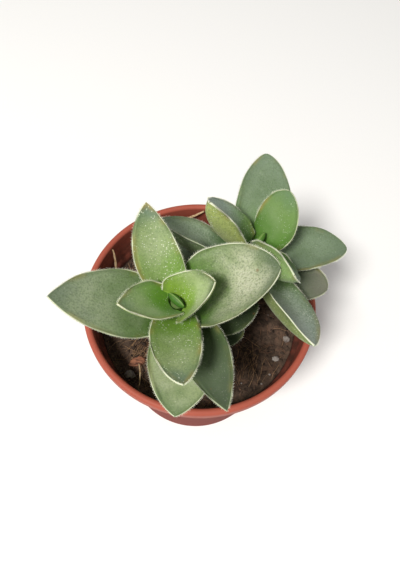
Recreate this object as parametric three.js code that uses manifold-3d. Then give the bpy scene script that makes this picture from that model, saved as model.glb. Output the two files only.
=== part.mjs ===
// A two-headed crassula succulent in a thin terracotta-coloured plastic nursery pot.
// Millimetres, +Z up, origin at the centre of the pot's flat base, its front towards -Y.
import * as THREE from 'three';
import { mergeVertices } from 'three/addons/utils/BufferGeometryUtils.js';
import Module from 'manifold-3d';

// Clear space kept between pieces that touch on the real plant.
const GAP = 0.35;

const POT_HEIGHT = 86;
const RIM_RADIUS = 51;
const BASE_RADIUS = 38;
const BASE_ROUNDING = 1.5;
const WALL = 1.3;
const LIP_WIDTH = 3;
const LIP_DROP = 5;
const COLLAR_DROP = 17;
const COLLAR_DRAFT = 0.8;
const COLLAR_STEP = 1.6;
const POT_SEGMENTS = 56;
const DRAIN_HOLES = 6;
const DRAIN_RADIUS = 3.5;
const DRAIN_CIRCLE = 28;

const SOIL_TOP = 67;
const SOIL_RINGS = 11;
const SOIL_SEGMENTS = 40;
const SOIL_LUMP = 1.1;
const SOIL_WAVES = [7.3, 6.1, 4.4];
const SOIL_CRUMB = 0.7;

const STEM_RADIUS = 3;
const STEM_TIP_RADIUS = 2.3;
const STEM_DEPTH = 16;
const STEM_SEGMENTS = 12;
const SCAR_SPACING = 5;
const SCAR_HEIGHT = 0.35;

// Share of the bud's thickness lost towards the ends of its seam.
const BUD_TAPER = 0.4;
const BUD_SIZE = { long: 8, across: 2.8, high: 4 };

// Half the thickness of a leaf at its margin.
const MARGIN = 0.4;
const LEAF_STATIONS = 12;
const LEAF_SPAN = 6;
// Stations lie closer together towards the tip, where the outline closes.
const STATION_POWER = 1.4;
// How fast the thickness follows the width down to the tip, 1 being in step with it.
const BULGE_POWER = 0.7;
// How much flatter a leaf's trough is at the tip than at the stem.
const TIP_FLATTENING = 0.7;
const YOUNG_LENGTH = 30;

// Each stem runs straight from its foot in the soil to the point under its bud. bud is the
// direction of the bud's seam in degrees.
const SHOOTS = {
  tall: {
    foot: new THREE.Vector3(-3, -9, SOIL_TOP), top: new THREE.Vector3(-8.2, -20.6, 124), bud: -40,
  },
  short: {
    foot: new THREE.Vector3(9, 4, SOIL_TOP), top: new THREE.Vector3(21.4, 13.3, 113), bud: 60,
  },
};

// Leaves from the bud downwards. down is the distance along the stem under its top; azimuth,
// rise, roll, twist (the change of roll up to the tip), curl and sweep are degrees; fold is the
// height of the margins over the midrib per half width; neck is the width at the stem and widest
// the place of the full width, as shares; tip is the power of the outline's closing curve, lower
// for a blunter leaf.
const TALL_LEAVES = [
  { down: 0.8, azimuth: 208, rise: 39, length: 23.5, width: 16.1, thick: 2.8,
    roll: 8, twist: -7, curl: 6, fold: 0.58, sweep: -2, neck: 0.83, widest: 0.29, tip: 0.86 },
  { down: 0.5, azimuth: 10, rise: 58, length: 17.9, width: 15.8, thick: 2.8,
    roll: 21, twist: -6, curl: -1, fold: 1.27, sweep: -7, neck: 0.78, widest: 0.32, tip: 0.62 },
  { down: 5.2, azimuth: 127, rise: 35, length: 35.5, width: 17, thick: 4.2,
    roll: 0, curl: 0, fold: 0.4, sweep: -27, neck: 0.72, widest: 0.4, tip: 0.85 },
  { down: 4.8, azimuth: 268, rise: 28, length: 34.6, width: 17.9, thick: 4.1,
    roll: -9, curl: 2, fold: 0.31, sweep: 22, neck: 0.72, widest: 0.37, tip: 0.66 },
  { down: 10, azimuth: 191, rise: 28, length: 45.3, width: 26, thick: 4.6,
    roll: -2, curl: 5, fold: 0.17, sweep: 4, neck: 0.68, widest: 0.4, tip: 0.9 },
  { down: 12.4, azimuth: 20, rise: 40, length: 38.6, width: 30.3, thick: 3.8,
    roll: -1, curl: -5, fold: 0.68, sweep: -15, neck: 0.57, widest: 0.4, tip: 0.62 },
  { down: 15.7, azimuth: 299, rise: 12, length: 38.9, width: 18.7, thick: 3.9,
    roll: -3, curl: -3, fold: 0.49, sweep: -7, neck: 0.65, widest: 0.36, tip: 0.94 },
  { down: 21, azimuth: 273, rise: 10, length: 38, width: 24.5, thick: 4.4,
    roll: -5, curl: 4, fold: 0.3, sweep: -5, neck: 0.62, widest: 0.42, tip: 0.75 },
  { down: 25.5, azimuth: 14, rise: -1, length: 27, width: 21.5, thick: 4,
    roll: 4, curl: 0, fold: 0.29, sweep: 4, neck: 0.6, widest: 0.4, tip: 0.8 },
  { down: 16.5, azimuth: 112, rise: 12, length: 22, width: 18, thick: 4,
    roll: 0, curl: 0, fold: 0.3, sweep: -10, neck: 0.62, widest: 0.42, tip: 0.85 },
  { down: 26, azimuth: 176, rise: 4, length: 25, width: 19, thick: 4,
    roll: 0, curl: -5, fold: 0.25, sweep: 6, neck: 0.62, widest: 0.42, tip: 0.85 },
  { down: 31, azimuth: 350, rise: -2, length: 20.5, width: 18.5, thick: 3.8,
    roll: 4, curl: 0, fold: 0.25, sweep: 2, neck: 0.6, widest: 0.43, tip: 0.75 },
];
const SHORT_LEAVES = [
  { down: 2.4, azimuth: 169, rise: 62, length: 34.2, width: 18.3, thick: 7.5,
    roll: 5, twist: 19, curl: -6, fold: 0.38, sweep: 34, neck: 0.63, widest: 0.44, tip: 0.68 },
  { down: 1.3, azimuth: 295, rise: 40, length: 36.3, width: 18.3, thick: 5.4,
    roll: -33, twist: -33, curl: 10, fold: 0.44, sweep: -13, neck: 0.6, widest: 0.46, tip: 0.78 },
  { down: 5.8, azimuth: 47, rise: 54, length: 27.3, width: 18.7, thick: 4,
    roll: -9, curl: 10, fold: -0.26, sweep: 15, neck: 0.63, widest: 0.42, tip: 0.62 },
  { down: 10.9, azimuth: 73, rise: 24, length: 43.7, width: 23.6, thick: 3.9,
    roll: 5, curl: -5, fold: 0.28, sweep: 23, neck: 0.64, widest: 0.42, tip: 0.64 },
  { down: 10, azimuth: 299, rise: 21, length: 49.5, width: 23.6, thick: 5,
    roll: -38, twist: -3, curl: 6, fold: 0.51, sweep: -8, neck: 0.57, widest: 0.51, tip: 0.85 },
  { down: 16.8, azimuth: 25, rise: 12, length: 42.6, width: 21.2, thick: 3.7,
    roll: 0, curl: -16, fold: 0.47, sweep: -22, neck: 0.63, widest: 0.54, tip: 0.66 },
  { down: 16, azimuth: 168, rise: 35, length: 41, width: 20, thick: 5.2,
    roll: 30, curl: 5, fold: 0.7, sweep: 14, neck: 0.6, widest: 0.45, tip: 0.82 },
  { down: 23.5, azimuth: 1, rise: 11, length: 34.9, width: 23.7, thick: 4.2,
    roll: -6, curl: 2, fold: 0.34, sweep: -24, neck: 0.63, widest: 0.49, tip: 0.55 },
  { down: 24, azimuth: 150, rise: 6, length: 30, width: 18, thick: 4,
    roll: 0, curl: -4, fold: 0.3, sweep: 0, neck: 0.6, widest: 0.42, tip: 0.85 },
];

// What lies on the soil: grains of [x, y, radius], one chip and dry strips from foot to end.
const CRUMB_ROUGHNESS = 0.06;
const GRAIN_SHAPE = [1, 0.85, 0.7];
const PERLITE = [[-28.5, -31, 2.2], [41, -9, 1.6], [36.2, -18.6, 1.5]];
const BARK = { x: -25.6, y: -25.2, long: 7, wide: 4, high: 1.6, turn: 25 };
const SHREDS = [
  { foot: [-41, 17.6, 69.5], end: [-41.6, 22, 84.5], bow: [0.4, 0.4, 0], wide: 1.5 },
  { foot: [-9.5, 45.2, 79.5], end: [-1.2, 46.8, 85], bow: [0, -0.6, 0.4], wide: 1.6 },
  { foot: [-23.5, -36.5, 70], end: [-24.7, -27, 71], bow: [0.6, 0, 1.2], wide: 0.9 },
];
const SHRED_THICKNESS = 0.7;
const SHRED_STEPS = 6;
// Share of a strip's width lost towards its end.
const SHRED_TAPER = 0.5;

const LOOKS = {
  pot: { color: 0xc8684f, roughness: 0.45 },
  soil: { color: 0x3a2c24, roughness: 0.95 },
  stem: { color: 0x7c7650, roughness: 0.7 },
  bud: { color: 0x5f9a3c, roughness: 0.5 },
  youngLeaf: { color: 0x76a352, roughness: 0.6 },
  leaf: { color: 0x7e9878, roughness: 0.6 },
  perlite: { color: 0xb9b4ae, roughness: 0.9 },
  bark: { color: 0x9a5a38, roughness: 0.9 },
  shred: { color: 0xc9b48c, roughness: 0.85 },
};

const wasm = await Module();
wasm.setup();

function toSolid(geometry) {
  const bare = geometry.clone();
  bare.deleteAttribute('normal');
  bare.deleteAttribute('uv');
  const merged = mergeVertices(bare);
  return new wasm.Manifold(new wasm.Mesh({
    numProp: 3,
    vertProperties: merged.attributes.position.array,
    triVerts: new Uint32Array(merged.index.array),
  }));
}

function toGeometry(solid) {
  const mesh = solid.getMesh();
  const geometry = new THREE.BufferGeometry();
  geometry.setAttribute('position', new THREE.BufferAttribute(mesh.vertProperties, 3));
  geometry.setIndex(new THREE.BufferAttribute(mesh.triVerts, 1));
  geometry.computeVertexNormals();
  return geometry;
}

// A closed body through equal rings of points, with a flat start and a pointed end. Seen along
// the body from its start, each ring runs anticlockwise.
function loft(rings, tip) {
  const count = rings[0].length;
  const centre = rings[0].reduce((sum, point) => sum.add(point), new THREE.Vector3());
  const points = [...rings.flat(), centre.divideScalar(count), tip];
  const start = points.length - 2;
  const end = points.length - 1;
  const last = (rings.length - 1) * count;
  const faces = [];
  for (let j = 0; j < count; j += 1) {
    const next = (j + 1) % count;
    faces.push(start, j, next, last + j, end, last + next);
    for (let i = 0; i < rings.length - 1; i += 1) {
      const near = i * count;
      const far = near + count;
      faces.push(near + j, far + j, far + next, near + j, far + next, near + next);
    }
  }
  const geometry = new THREE.BufferGeometry().setFromPoints(points);
  geometry.setIndex(faces);
  geometry.computeVertexNormals();
  return geometry;
}

function finish(name, geometry, look) {
  const mesh = new THREE.Mesh(geometry, new THREE.MeshStandardMaterial(look));
  mesh.name = name;
  return mesh;
}

// A body turned about +Z from a profile of [radius, height] pairs.
function turned(profile, segments) {
  const points = profile.map(([radius, height]) => new THREE.Vector2(radius, height));
  return new THREE.LatheGeometry(points, segments).rotateX(Math.PI / 2);
}

// Radius of the outside of the lower wall at a height over the base.
function wallRadius(height) {
  const shoulder = POT_HEIGHT - COLLAR_DROP;
  const shoulderRadius = RIM_RADIUS - LIP_WIDTH + WALL - COLLAR_DRAFT - COLLAR_STEP;
  return BASE_RADIUS + ((shoulderRadius - BASE_RADIUS) * height) / shoulder;
}

function makePot() {
  const shoulder = POT_HEIGHT - COLLAR_DROP;
  const collarInside = RIM_RADIUS - LIP_WIDTH;
  const collarOutside = collarInside + WALL;
  const roll = LIP_WIDTH / 4;
  const profile = [
    [0, 0],
    [BASE_RADIUS - BASE_ROUNDING, 0],
    [wallRadius(BASE_ROUNDING), BASE_ROUNDING],
    [wallRadius(shoulder - COLLAR_STEP), shoulder - COLLAR_STEP],
    [collarOutside - COLLAR_DRAFT, shoulder],
    [collarOutside, POT_HEIGHT - LIP_DROP],
    [RIM_RADIUS - roll / 2, POT_HEIGHT - LIP_DROP],
    [RIM_RADIUS, POT_HEIGHT - LIP_DROP + roll],
    [RIM_RADIUS, POT_HEIGHT - roll],
    [RIM_RADIUS - roll, POT_HEIGHT],
    [collarInside + roll, POT_HEIGHT],
    [collarInside, POT_HEIGHT - roll],
    [collarInside - COLLAR_DRAFT, shoulder + WALL],
    [wallRadius(shoulder) - WALL, shoulder - COLLAR_STEP + WALL],
    [wallRadius(WALL) - WALL - BASE_ROUNDING, WALL],
    [0, WALL],
  ];
  let shell = toSolid(turned(profile, POT_SEGMENTS));
  for (let i = 0; i < DRAIN_HOLES; i += 1) {
    const angle = (2 * Math.PI * (i + 0.5)) / DRAIN_HOLES;
    const punch = new THREE.CylinderGeometry(DRAIN_RADIUS, DRAIN_RADIUS, 4 * WALL, 16);
    punch.rotateX(Math.PI / 2);
    punch.translate(DRAIN_CIRCLE * Math.cos(angle), DRAIN_CIRCLE * Math.sin(angle), WALL / 2);
    shell = shell.subtract(toSolid(punch));
  }
  return finish('pot', toGeometry(shell), LOOKS.pot);
}

// Lumps of the soil's top, which die away at the wall.
function soilHeight(x, y, edge) {
  const share = Math.hypot(x, y) / edge;
  const [across, along, slanting] = SOIL_WAVES;
  const wave = Math.sin(x / across + 1) * Math.cos(y / along) + Math.sin((x + y) / slanting);
  return SOIL_TOP + SOIL_LUMP * wave * (1 - share ** 6);
}

function stemAxis(shoot) {
  return shoot.top.clone().sub(shoot.foot).normalize();
}

function makeSoil() {
  const edge = wallRadius(SOIL_TOP) - WALL - GAP;
  const floor = WALL + GAP;
  const floorRadius = wallRadius(floor) - WALL - BASE_ROUNDING - GAP;
  const random = seeded(7);
  const points = [new THREE.Vector3(0, 0, floor), new THREE.Vector3(0, 0, soilHeight(0, 0, edge))];
  const ring = (radius, height) => {
    for (let j = 0; j < SOIL_SEGMENTS; j += 1) {
      const angle = (2 * Math.PI * j) / SOIL_SEGMENTS;
      const x = radius * Math.cos(angle);
      const y = radius * Math.sin(angle);
      points.push(new THREE.Vector3(x, y, height(x, y)));
    }
  };
  ring(floorRadius, () => floor);
  for (let i = SOIL_RINGS; i > 0; i -= 1) {
    const crumb = i < SOIL_RINGS ? SOIL_CRUMB : 0;
    ring((edge * i) / SOIL_RINGS, (x, y) => soilHeight(x, y, edge) + crumb * (random() - 0.5));
  }
  const faces = [];
  const rings = SOIL_RINGS + 1;
  for (let j = 0; j < SOIL_SEGMENTS; j += 1) {
    const next = (j + 1) % SOIL_SEGMENTS;
    faces.push(0, 2 + next, 2 + j);
    for (let i = 0; i < rings - 1; i += 1) {
      const low = 2 + i * SOIL_SEGMENTS;
      const high = low + SOIL_SEGMENTS;
      faces.push(low + j, low + next, high + next, low + j, high + next, high + j);
    }
    const inner = 2 + (rings - 1) * SOIL_SEGMENTS;
    faces.push(1, inner + j, inner + next);
  }
  const geometry = new THREE.BufferGeometry().setFromPoints(points);
  geometry.setIndex(faces);
  let soil = toSolid(geometry);
  for (const shoot of Object.values(SHOOTS)) {
    soil = soil.subtract(toSolid(stemHole(shoot)));
  }
  return finish('potting_soil', toGeometry(soil), LOOKS.soil);
}

// A plain round hole along the stem, open at the soil's top.
function stemHole(shoot) {
  const radius = STEM_RADIUS + GAP;
  const length = STEM_DEPTH + GAP + 4 * SOIL_LUMP;
  const hole = new THREE.CylinderGeometry(radius, radius, length, STEM_SEGMENTS);
  hole.translate(0, length / 2 - STEM_DEPTH - GAP, 0);
  const lean = new THREE.Quaternion();
  hole.applyQuaternion(lean.setFromUnitVectors(new THREE.Vector3(0, 1, 0), stemAxis(shoot)));
  hole.translate(...shoot.foot.toArray());
  return hole;
}

// A repeatable series of numbers from 0 to 1.
function seeded(seed) {
  let state = seed;
  return () => {
    state = (state * 1664525 + 1013904223) % 4294967296;
    return state / 4294967296;
  };
}

// A tapered round stem with a low ridge where each old pair of leaves grew.
function makeStem(name, shoot) {
  const length = shoot.top.distanceTo(shoot.foot) - GAP;
  const radiusAt = (height) => STEM_RADIUS + ((STEM_TIP_RADIUS - STEM_RADIUS) * height) / length;
  const profile = [[0, -STEM_DEPTH], [STEM_RADIUS, -STEM_DEPTH], [STEM_RADIUS, 0]];
  for (let height = SCAR_SPACING; height < length - SCAR_SPACING; height += SCAR_SPACING) {
    profile.push([radiusAt(height - 1), height - 1]);
    profile.push([radiusAt(height) + SCAR_HEIGHT, height]);
    profile.push([radiusAt(height + 1), height + 1]);
  }
  profile.push([radiusAt(length), length], [0, length]);
  const stem = finish(name, turned(profile, STEM_SEGMENTS), LOOKS.stem);
  stem.position.copy(shoot.foot);
  stem.quaternion.setFromUnitVectors(new THREE.Vector3(0, 0, 1), stemAxis(shoot));
  return stem;
}

// Half width of a leaf along its length, from 0 at the stem to 1 at the tip.
function outline(leaf, along) {
  if (along < leaf.widest) {
    return leaf.neck + (1 - leaf.neck) * Math.sin((Math.PI / 2) * (along / leaf.widest));
  }
  const left = (along - leaf.widest) / (1 - leaf.widest);
  return (1 - left ** 2) ** leaf.tip;
}

// A leaf is swept along its midrib, which leaves the stem towards +X. Its upper face is a shallow
// trough, its under face bulges, and both meet in a blunt margin.
function leafGeometry(leaf) {
  const rings = [];
  const point = new THREE.Vector3();
  const frameAt = (along) => {
    const rise = THREE.MathUtils.degToRad(leaf.rise + leaf.curl * along);
    const turn = THREE.MathUtils.degToRad(leaf.sweep * along);
    const ahead = new THREE.Vector3(
      Math.cos(rise) * Math.cos(turn), Math.cos(rise) * Math.sin(turn), Math.sin(rise));
    const level = new THREE.Vector3(-Math.sin(turn), Math.cos(turn), 0);
    const roll = THREE.MathUtils.degToRad(leaf.roll + (leaf.twist ?? 0) * along);
    const side = level.applyAxisAngle(ahead, roll);
    return { ahead, side, up: ahead.clone().cross(side) };
  };
  const station = (i) => 1 - (1 - i / LEAF_STATIONS) ** STATION_POWER;
  for (let i = 0; i < LEAF_STATIONS; i += 1) {
    const along = station(i);
    const next = station(i + 1);
    const { side, up } = frameAt(along);
    const half = (leaf.width / 2) * outline(leaf, along);
    const fold = leaf.fold * (1 - TIP_FLATTENING * along) * half;
    const bulge = leaf.thick * outline(leaf, along) ** BULGE_POWER;
    const ring = [];
    const place = (across, depth) => ring.push(point.clone()
      .addScaledVector(side, half * across)
      .addScaledVector(up, fold * across ** 2 - depth));
    for (let j = 0; j <= LEAF_SPAN; j += 1) {
      place(-Math.cos((Math.PI * j) / LEAF_SPAN), -MARGIN);
    }
    for (let j = 0; j <= LEAF_SPAN; j += 1) {
      const across = Math.cos((Math.PI * j) / LEAF_SPAN);
      place(across, MARGIN + (bulge - 2 * MARGIN) * (1 - across ** 2));
    }
    rings.push(ring);
    point.addScaledVector(frameAt((along + next) / 2).ahead, leaf.length * (next - along));
  }
  return loft(rings, point);
}

// Distance from the stem's axis to the foot of the midrib. The top pair hugs the thin tip.
function footReach(leaf) {
  const stem = leaf.down < SCAR_SPACING / 2 ? STEM_TIP_RADIUS : STEM_RADIUS + SCAR_HEIGHT;
  return stem + 2 * GAP;
}

function makeLeaf(name, shoot, leaf) {
  const look = leaf.length < YOUNG_LENGTH ? LOOKS.youngLeaf : LOOKS.leaf;
  const mesh = finish(name, leafGeometry(leaf), look);
  const azimuth = THREE.MathUtils.degToRad(leaf.azimuth);
  const reach = footReach(leaf);
  mesh.position.copy(shoot.top).addScaledVector(stemAxis(shoot), -leaf.down);
  mesh.position.add(new THREE.Vector3(reach * Math.cos(azimuth), reach * Math.sin(azimuth), 0));
  mesh.rotation.z = azimuth;
  return mesh;
}

// The closed pair of leaves at the tip of a stem, pressed together along a seam.
function makeBud(name, shoot) {
  const geometry = new THREE.SphereGeometry(0.5, 14, 8).rotateX(Math.PI / 2);
  const position = geometry.attributes.position;
  for (let i = 0; i < position.count; i += 1) {
    const end = 2 * position.getX(i);
    position.setY(i, position.getY(i) * (1 - BUD_TAPER * end ** 2));
  }
  geometry.scale(BUD_SIZE.long, BUD_SIZE.across, BUD_SIZE.high);
  const bud = finish(name, geometry, LOOKS.bud);
  bud.position.copy(shoot.top).addScaledVector(stemAxis(shoot), BUD_SIZE.high / 2 + GAP);
  bud.rotation.z = THREE.MathUtils.degToRad(shoot.bud);
  return bud;
}

// Raises and sinks the surface of a round crumb in a wave.
function roughen(geometry) {
  const position = geometry.attributes.position;
  const point = new THREE.Vector3();
  for (let i = 0; i < position.count; i += 1) {
    point.fromBufferAttribute(position, i);
    const wave = Math.sin(9 * point.x + 5 * point.y) + Math.cos(7 * point.z - 4 * point.x);
    point.multiplyScalar(1 + CRUMB_ROUGHNESS * wave);
    position.setXYZ(i, ...point.toArray());
  }
  return geometry;
}

function layOnSoil(mesh, x, y, lift) {
  const edge = wallRadius(SOIL_TOP) - WALL - GAP;
  mesh.position.set(x, y, soilHeight(x, y, edge) + SOIL_CRUMB + lift);
  return mesh;
}

function makePerlite([x, y, radius], index) {
  const geometry = roughen(new THREE.IcosahedronGeometry(radius, 1));
  geometry.scale(...GRAIN_SHAPE);
  const grain = finish(`perlite_grain_${index + 1}`, geometry, LOOKS.perlite);
  return layOnSoil(grain, x, y, radius * GRAIN_SHAPE[2]);
}

function makeBark() {
  const geometry = roughen(new THREE.IcosahedronGeometry(0.5, 1));
  geometry.scale(BARK.long, BARK.wide, BARK.high);
  const chip = finish('bark_chip', geometry, LOOKS.bark);
  chip.rotation.z = THREE.MathUtils.degToRad(BARK.turn);
  return layOnSoil(chip, BARK.x, BARK.y, BARK.high / 2);
}

// A thin dead strip of leaf or coir, bowed between its two ends.
function makeShred(shred, index) {
  const foot = new THREE.Vector3(...shred.foot);
  const end = new THREE.Vector3(...shred.end);
  const bow = new THREE.Vector3(...shred.bow);
  const ahead = end.clone().sub(foot).normalize();
  const outward = new THREE.Vector3(foot.x, foot.y, 0).normalize();
  const side = outward.clone().cross(ahead).normalize();
  const face = ahead.clone().cross(side);
  const rings = [];
  for (let i = 0; i < SHRED_STEPS; i += 1) {
    const along = i / SHRED_STEPS;
    const centre = foot.clone().lerp(end, along).addScaledVector(bow, 4 * along * (1 - along));
    const half = (shred.wide / 2) * (1 - SHRED_TAPER * along);
    const corners = [[-half, -1], [-half, 1], [half, 1], [half, -1]];
    rings.push(corners.map(([across, up]) => centre.clone()
      .addScaledVector(side, across)
      .addScaledVector(face, (up * SHRED_THICKNESS) / 2)));
  }
  return finish(`dry_shred_${index + 1}`, loft(rings, end), LOOKS.shred);
}

function numbered(word, index) {
  return `${word}_leaf_${String(index + 1).padStart(2, '0')}`;
}

const plant = new THREE.Group();
plant.add(makeStem('tall_stem', SHOOTS.tall));
plant.add(makeStem('short_stem', SHOOTS.short));
plant.add(makeBud('tall_bud', SHOOTS.tall));
plant.add(makeBud('short_bud', SHOOTS.short));
TALL_LEAVES.forEach((leaf, i) => plant.add(makeLeaf(numbered('tall', i), SHOOTS.tall, leaf)));
SHORT_LEAVES.forEach((leaf, i) => plant.add(makeLeaf(numbered('short', i), SHOOTS.short, leaf)));

const litter = new THREE.Group();
litter.add(...PERLITE.map(makePerlite), makeBark(), ...SHREDS.map(makeShred));

const pottedCrassula = new THREE.Group();
pottedCrassula.add(makePot(), makeSoil(), litter, plant);

export default pottedCrassula;
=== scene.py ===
# A two-headed crassula succulent in a thin plastic nursery pot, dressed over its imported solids.
# Metres, in the solids' own frame. Shapes are written in millimetres and scaled by MM.
import random
from math import acos, atan2, ceil, cos, hypot, pi, radians, sin

import bpy
from mathutils import Matrix, Quaternion, Vector, noise


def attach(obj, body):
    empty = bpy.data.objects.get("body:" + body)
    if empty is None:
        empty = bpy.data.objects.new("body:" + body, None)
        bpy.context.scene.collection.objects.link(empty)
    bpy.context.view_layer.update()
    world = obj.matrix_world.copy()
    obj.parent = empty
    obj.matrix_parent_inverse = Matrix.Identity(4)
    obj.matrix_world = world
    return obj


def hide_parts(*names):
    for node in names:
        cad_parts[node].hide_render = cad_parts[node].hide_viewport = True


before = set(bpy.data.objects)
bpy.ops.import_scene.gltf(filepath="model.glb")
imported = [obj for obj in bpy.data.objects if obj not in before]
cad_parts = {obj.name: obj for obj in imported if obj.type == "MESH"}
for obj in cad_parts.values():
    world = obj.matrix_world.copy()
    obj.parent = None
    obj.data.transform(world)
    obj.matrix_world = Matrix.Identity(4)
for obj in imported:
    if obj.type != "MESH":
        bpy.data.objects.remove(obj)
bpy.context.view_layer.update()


# The pot is one thin shell of moulded polypropylene: a rolled lip, a smooth collar with a step
# under it, a tapered wall and a flat base with six drain holes. Its outline is spun about the
# upright axis and the holes are drilled out of the base.
MM = 0.001
POT_HEIGHT = 86
RIM_RADIUS = 51
BASE_RADIUS = 38
BASE_ROUNDING = 1.5
WALL = 1.3
LIP_WIDTH = 3
LIP_DROP = 5
COLLAR_DROP = 17
COLLAR_DRAFT = 0.8
COLLAR_STEP = 1.6
# How far the moulded corners are eased, from the crispest to the softest.
CRISP, FIRM, EVEN, SOFT, ROUND = 0.1, 0.2, 0.25, 0.3, 0.4
DRAIN_HOLES = 6
DRAIN_RADIUS = 3.5
DRAIN_CIRCLE = 28
DRILL_SIDES = 32
LIP_STEPS = 14
ROUNDING_STEPS = 5
POT_STEPS = 144
POT_CREASE = 40
INNER_SLACK = 0.05


def select_only(piece):
    """Leaves this piece selected and active, and nothing else."""
    bpy.ops.object.select_all(action="DESELECT")
    piece.select_set(True)
    bpy.context.view_layer.objects.active = piece


def new_piece(name, points, edges, faces):
    """A mesh piece with points in millimetres."""
    mesh = bpy.data.meshes.new(name)
    mesh.from_pydata([Vector(point) * MM for point in points], edges, faces)
    piece = bpy.data.objects.new(name, mesh)
    bpy.context.collection.objects.link(piece)
    return piece


def face_outward(piece):
    """Turns every face of a closed piece outwards."""
    select_only(piece)
    bpy.ops.object.mode_set(mode="EDIT")
    bpy.ops.mesh.select_all(action="SELECT")
    bpy.ops.mesh.normals_make_consistent(inside=False)
    bpy.ops.object.mode_set(mode="OBJECT")


def store_values(piece, key, numbers):
    """Stores one number on each point of a piece, for its material to read."""
    piece.data.attributes.new(key, "FLOAT", "POINT").data.foreach_set("value", numbers)


def turn(name, outline, steps):
    """Spins an outline of (radius, height) points, from axis to axis, into a closed body."""
    edges = [(i, i + 1) for i in range(len(outline) - 1)]
    piece = new_piece(name, [(radius, 0, height) for radius, height in outline], edges, [])
    select_only(piece)
    bpy.ops.object.mode_set(mode="EDIT")
    bpy.ops.mesh.select_all(action="SELECT")
    bpy.ops.mesh.spin(steps=steps, angle=2 * pi, center=(0, 0, 0), axis=(0, 0, 1))
    bpy.ops.mesh.select_all(action="SELECT")
    bpy.ops.mesh.remove_doubles(threshold=1e-6)
    bpy.ops.object.mode_set(mode="OBJECT")
    face_outward(piece)
    return piece


def arc(centre, radius, start, end, count):
    """Points of a round stretch of an outline, between two angles in degrees."""
    angles = [radians(start + (end - start) * i / count) for i in range(count + 1)]
    return [(centre[0] + radius * cos(a), centre[1] + radius * sin(a)) for a in angles]


def wall_radius(height):
    """Radius of the outside of the lower wall at a height over the base."""
    shoulder_radius = RIM_RADIUS - LIP_WIDTH + WALL - COLLAR_DRAFT - COLLAR_STEP
    return BASE_RADIUS + (shoulder_radius - BASE_RADIUS) * height / (POT_HEIGHT - COLLAR_DROP)


def add_node(tree, kind, settings, inputs, output=0):
    """Adds a node with its settings and, in each input, a value or another node's output."""
    node = tree.nodes.new(kind)
    for key, value in settings.items():
        setattr(node, key, value)
    for key, value in inputs.items():
        if isinstance(value, bpy.types.NodeSocket):
            tree.links.new(value, node.inputs[key])
        else:
            node.inputs[key].default_value = value
    return node if output is None else node.outputs[output]


def linear(code):
    """The linear colour of an sRGB hex code."""
    channels = [int(code[i:i + 2], 16) / 255 for i in (1, 3, 5)]
    return [c / 12.92 if c <= 0.04045 else ((c + 0.055) / 1.055) ** 2.4 for c in channels] + [1]


def new_material(name):
    """An empty node material and its tree."""
    material = bpy.data.materials.new(name)
    material.use_nodes = True
    material.node_tree.nodes.clear()
    return material, material.node_tree


def close_material(tree, surface):
    """Ends a material in one principled shader with these inputs."""
    shader = add_node(tree, "ShaderNodeBsdfPrincipled", {}, surface)
    add_node(tree, "ShaderNodeOutputMaterial", {}, {"Surface": shader}, None)


def pot_outline():
    """The pot's half section, from the middle of its base round the lip and back inside."""
    shoulder = POT_HEIGHT - COLLAR_DROP
    step = shoulder - COLLAR_STEP
    lip_foot = POT_HEIGHT - LIP_DROP
    inside = RIM_RADIUS - LIP_WIDTH
    outside = inside + WALL
    roll = LIP_WIDTH / 2
    lip = arc((inside + roll, POT_HEIGHT - roll), roll, 0, 180, LIP_STEPS)
    base = arc((BASE_RADIUS - BASE_ROUNDING, BASE_ROUNDING), BASE_ROUNDING, -90, 0, ROUNDING_STEPS)
    return [
        (0, 0), (BASE_RADIUS / 2, 0), *base,
        (wall_radius(step), step - ROUND),
        (wall_radius(step) + EVEN, step),
        (outside - COLLAR_DRAFT - EVEN, shoulder - CRISP),
        (outside - COLLAR_DRAFT, shoulder + ROUND),
        (outside - CRISP, lip_foot - FIRM),
        (outside + FIRM, lip_foot),
        (RIM_RADIUS - SOFT, lip_foot),
        (RIM_RADIUS, lip_foot + ROUND),
        *lip,
        (inside - FIRM, lip_foot),
        (inside - COLLAR_DRAFT, shoulder + WALL + ROUND),
        (inside - COLLAR_DRAFT - SOFT, shoulder + WALL),
        (wall_radius(shoulder) - WALL + FIRM, step + WALL + FIRM),
        (wall_radius(shoulder) - WALL, step + WALL - SOFT),
        (wall_radius(WALL) - WALL - BASE_ROUNDING, WALL), (BASE_RADIUS / 2, WALL), (0, WALL),
    ]


def drill_drain_holes(piece):
    """Cuts the ring of round holes through the base."""
    for i in range(DRAIN_HOLES):
        angle = 2 * pi * (i + 0.5) / DRAIN_HOLES
        place = (DRAIN_CIRCLE * cos(angle) * MM, DRAIN_CIRCLE * sin(angle) * MM, WALL / 2 * MM)
        bpy.ops.mesh.primitive_cylinder_add(
            vertices=DRILL_SIDES, radius=DRAIN_RADIUS * MM, depth=4 * WALL * MM, location=place)
        drill = bpy.context.object
        select_only(piece)
        cut = piece.modifiers.new("drain_hole", "BOOLEAN")
        cut.object = drill
        bpy.ops.object.modifier_apply(modifier=cut.name)
        bpy.data.objects.remove(drill)


def mark_inside(piece):
    """Stores 1 on the points of the inner wall and 0 on all others."""
    marks = []
    for vertex in piece.data.vertices:
        radius, height = hypot(vertex.co.x, vertex.co.y) / MM, vertex.co.z / MM
        collar = height > POT_HEIGHT - COLLAR_DROP
        inner = RIM_RADIUS - LIP_WIDTH + INNER_SLACK if collar else wall_radius(height) - WALL / 2
        marks.append(float(radius < inner and height > WALL / 2))
    store_values(piece, "inside", marks)


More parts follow.
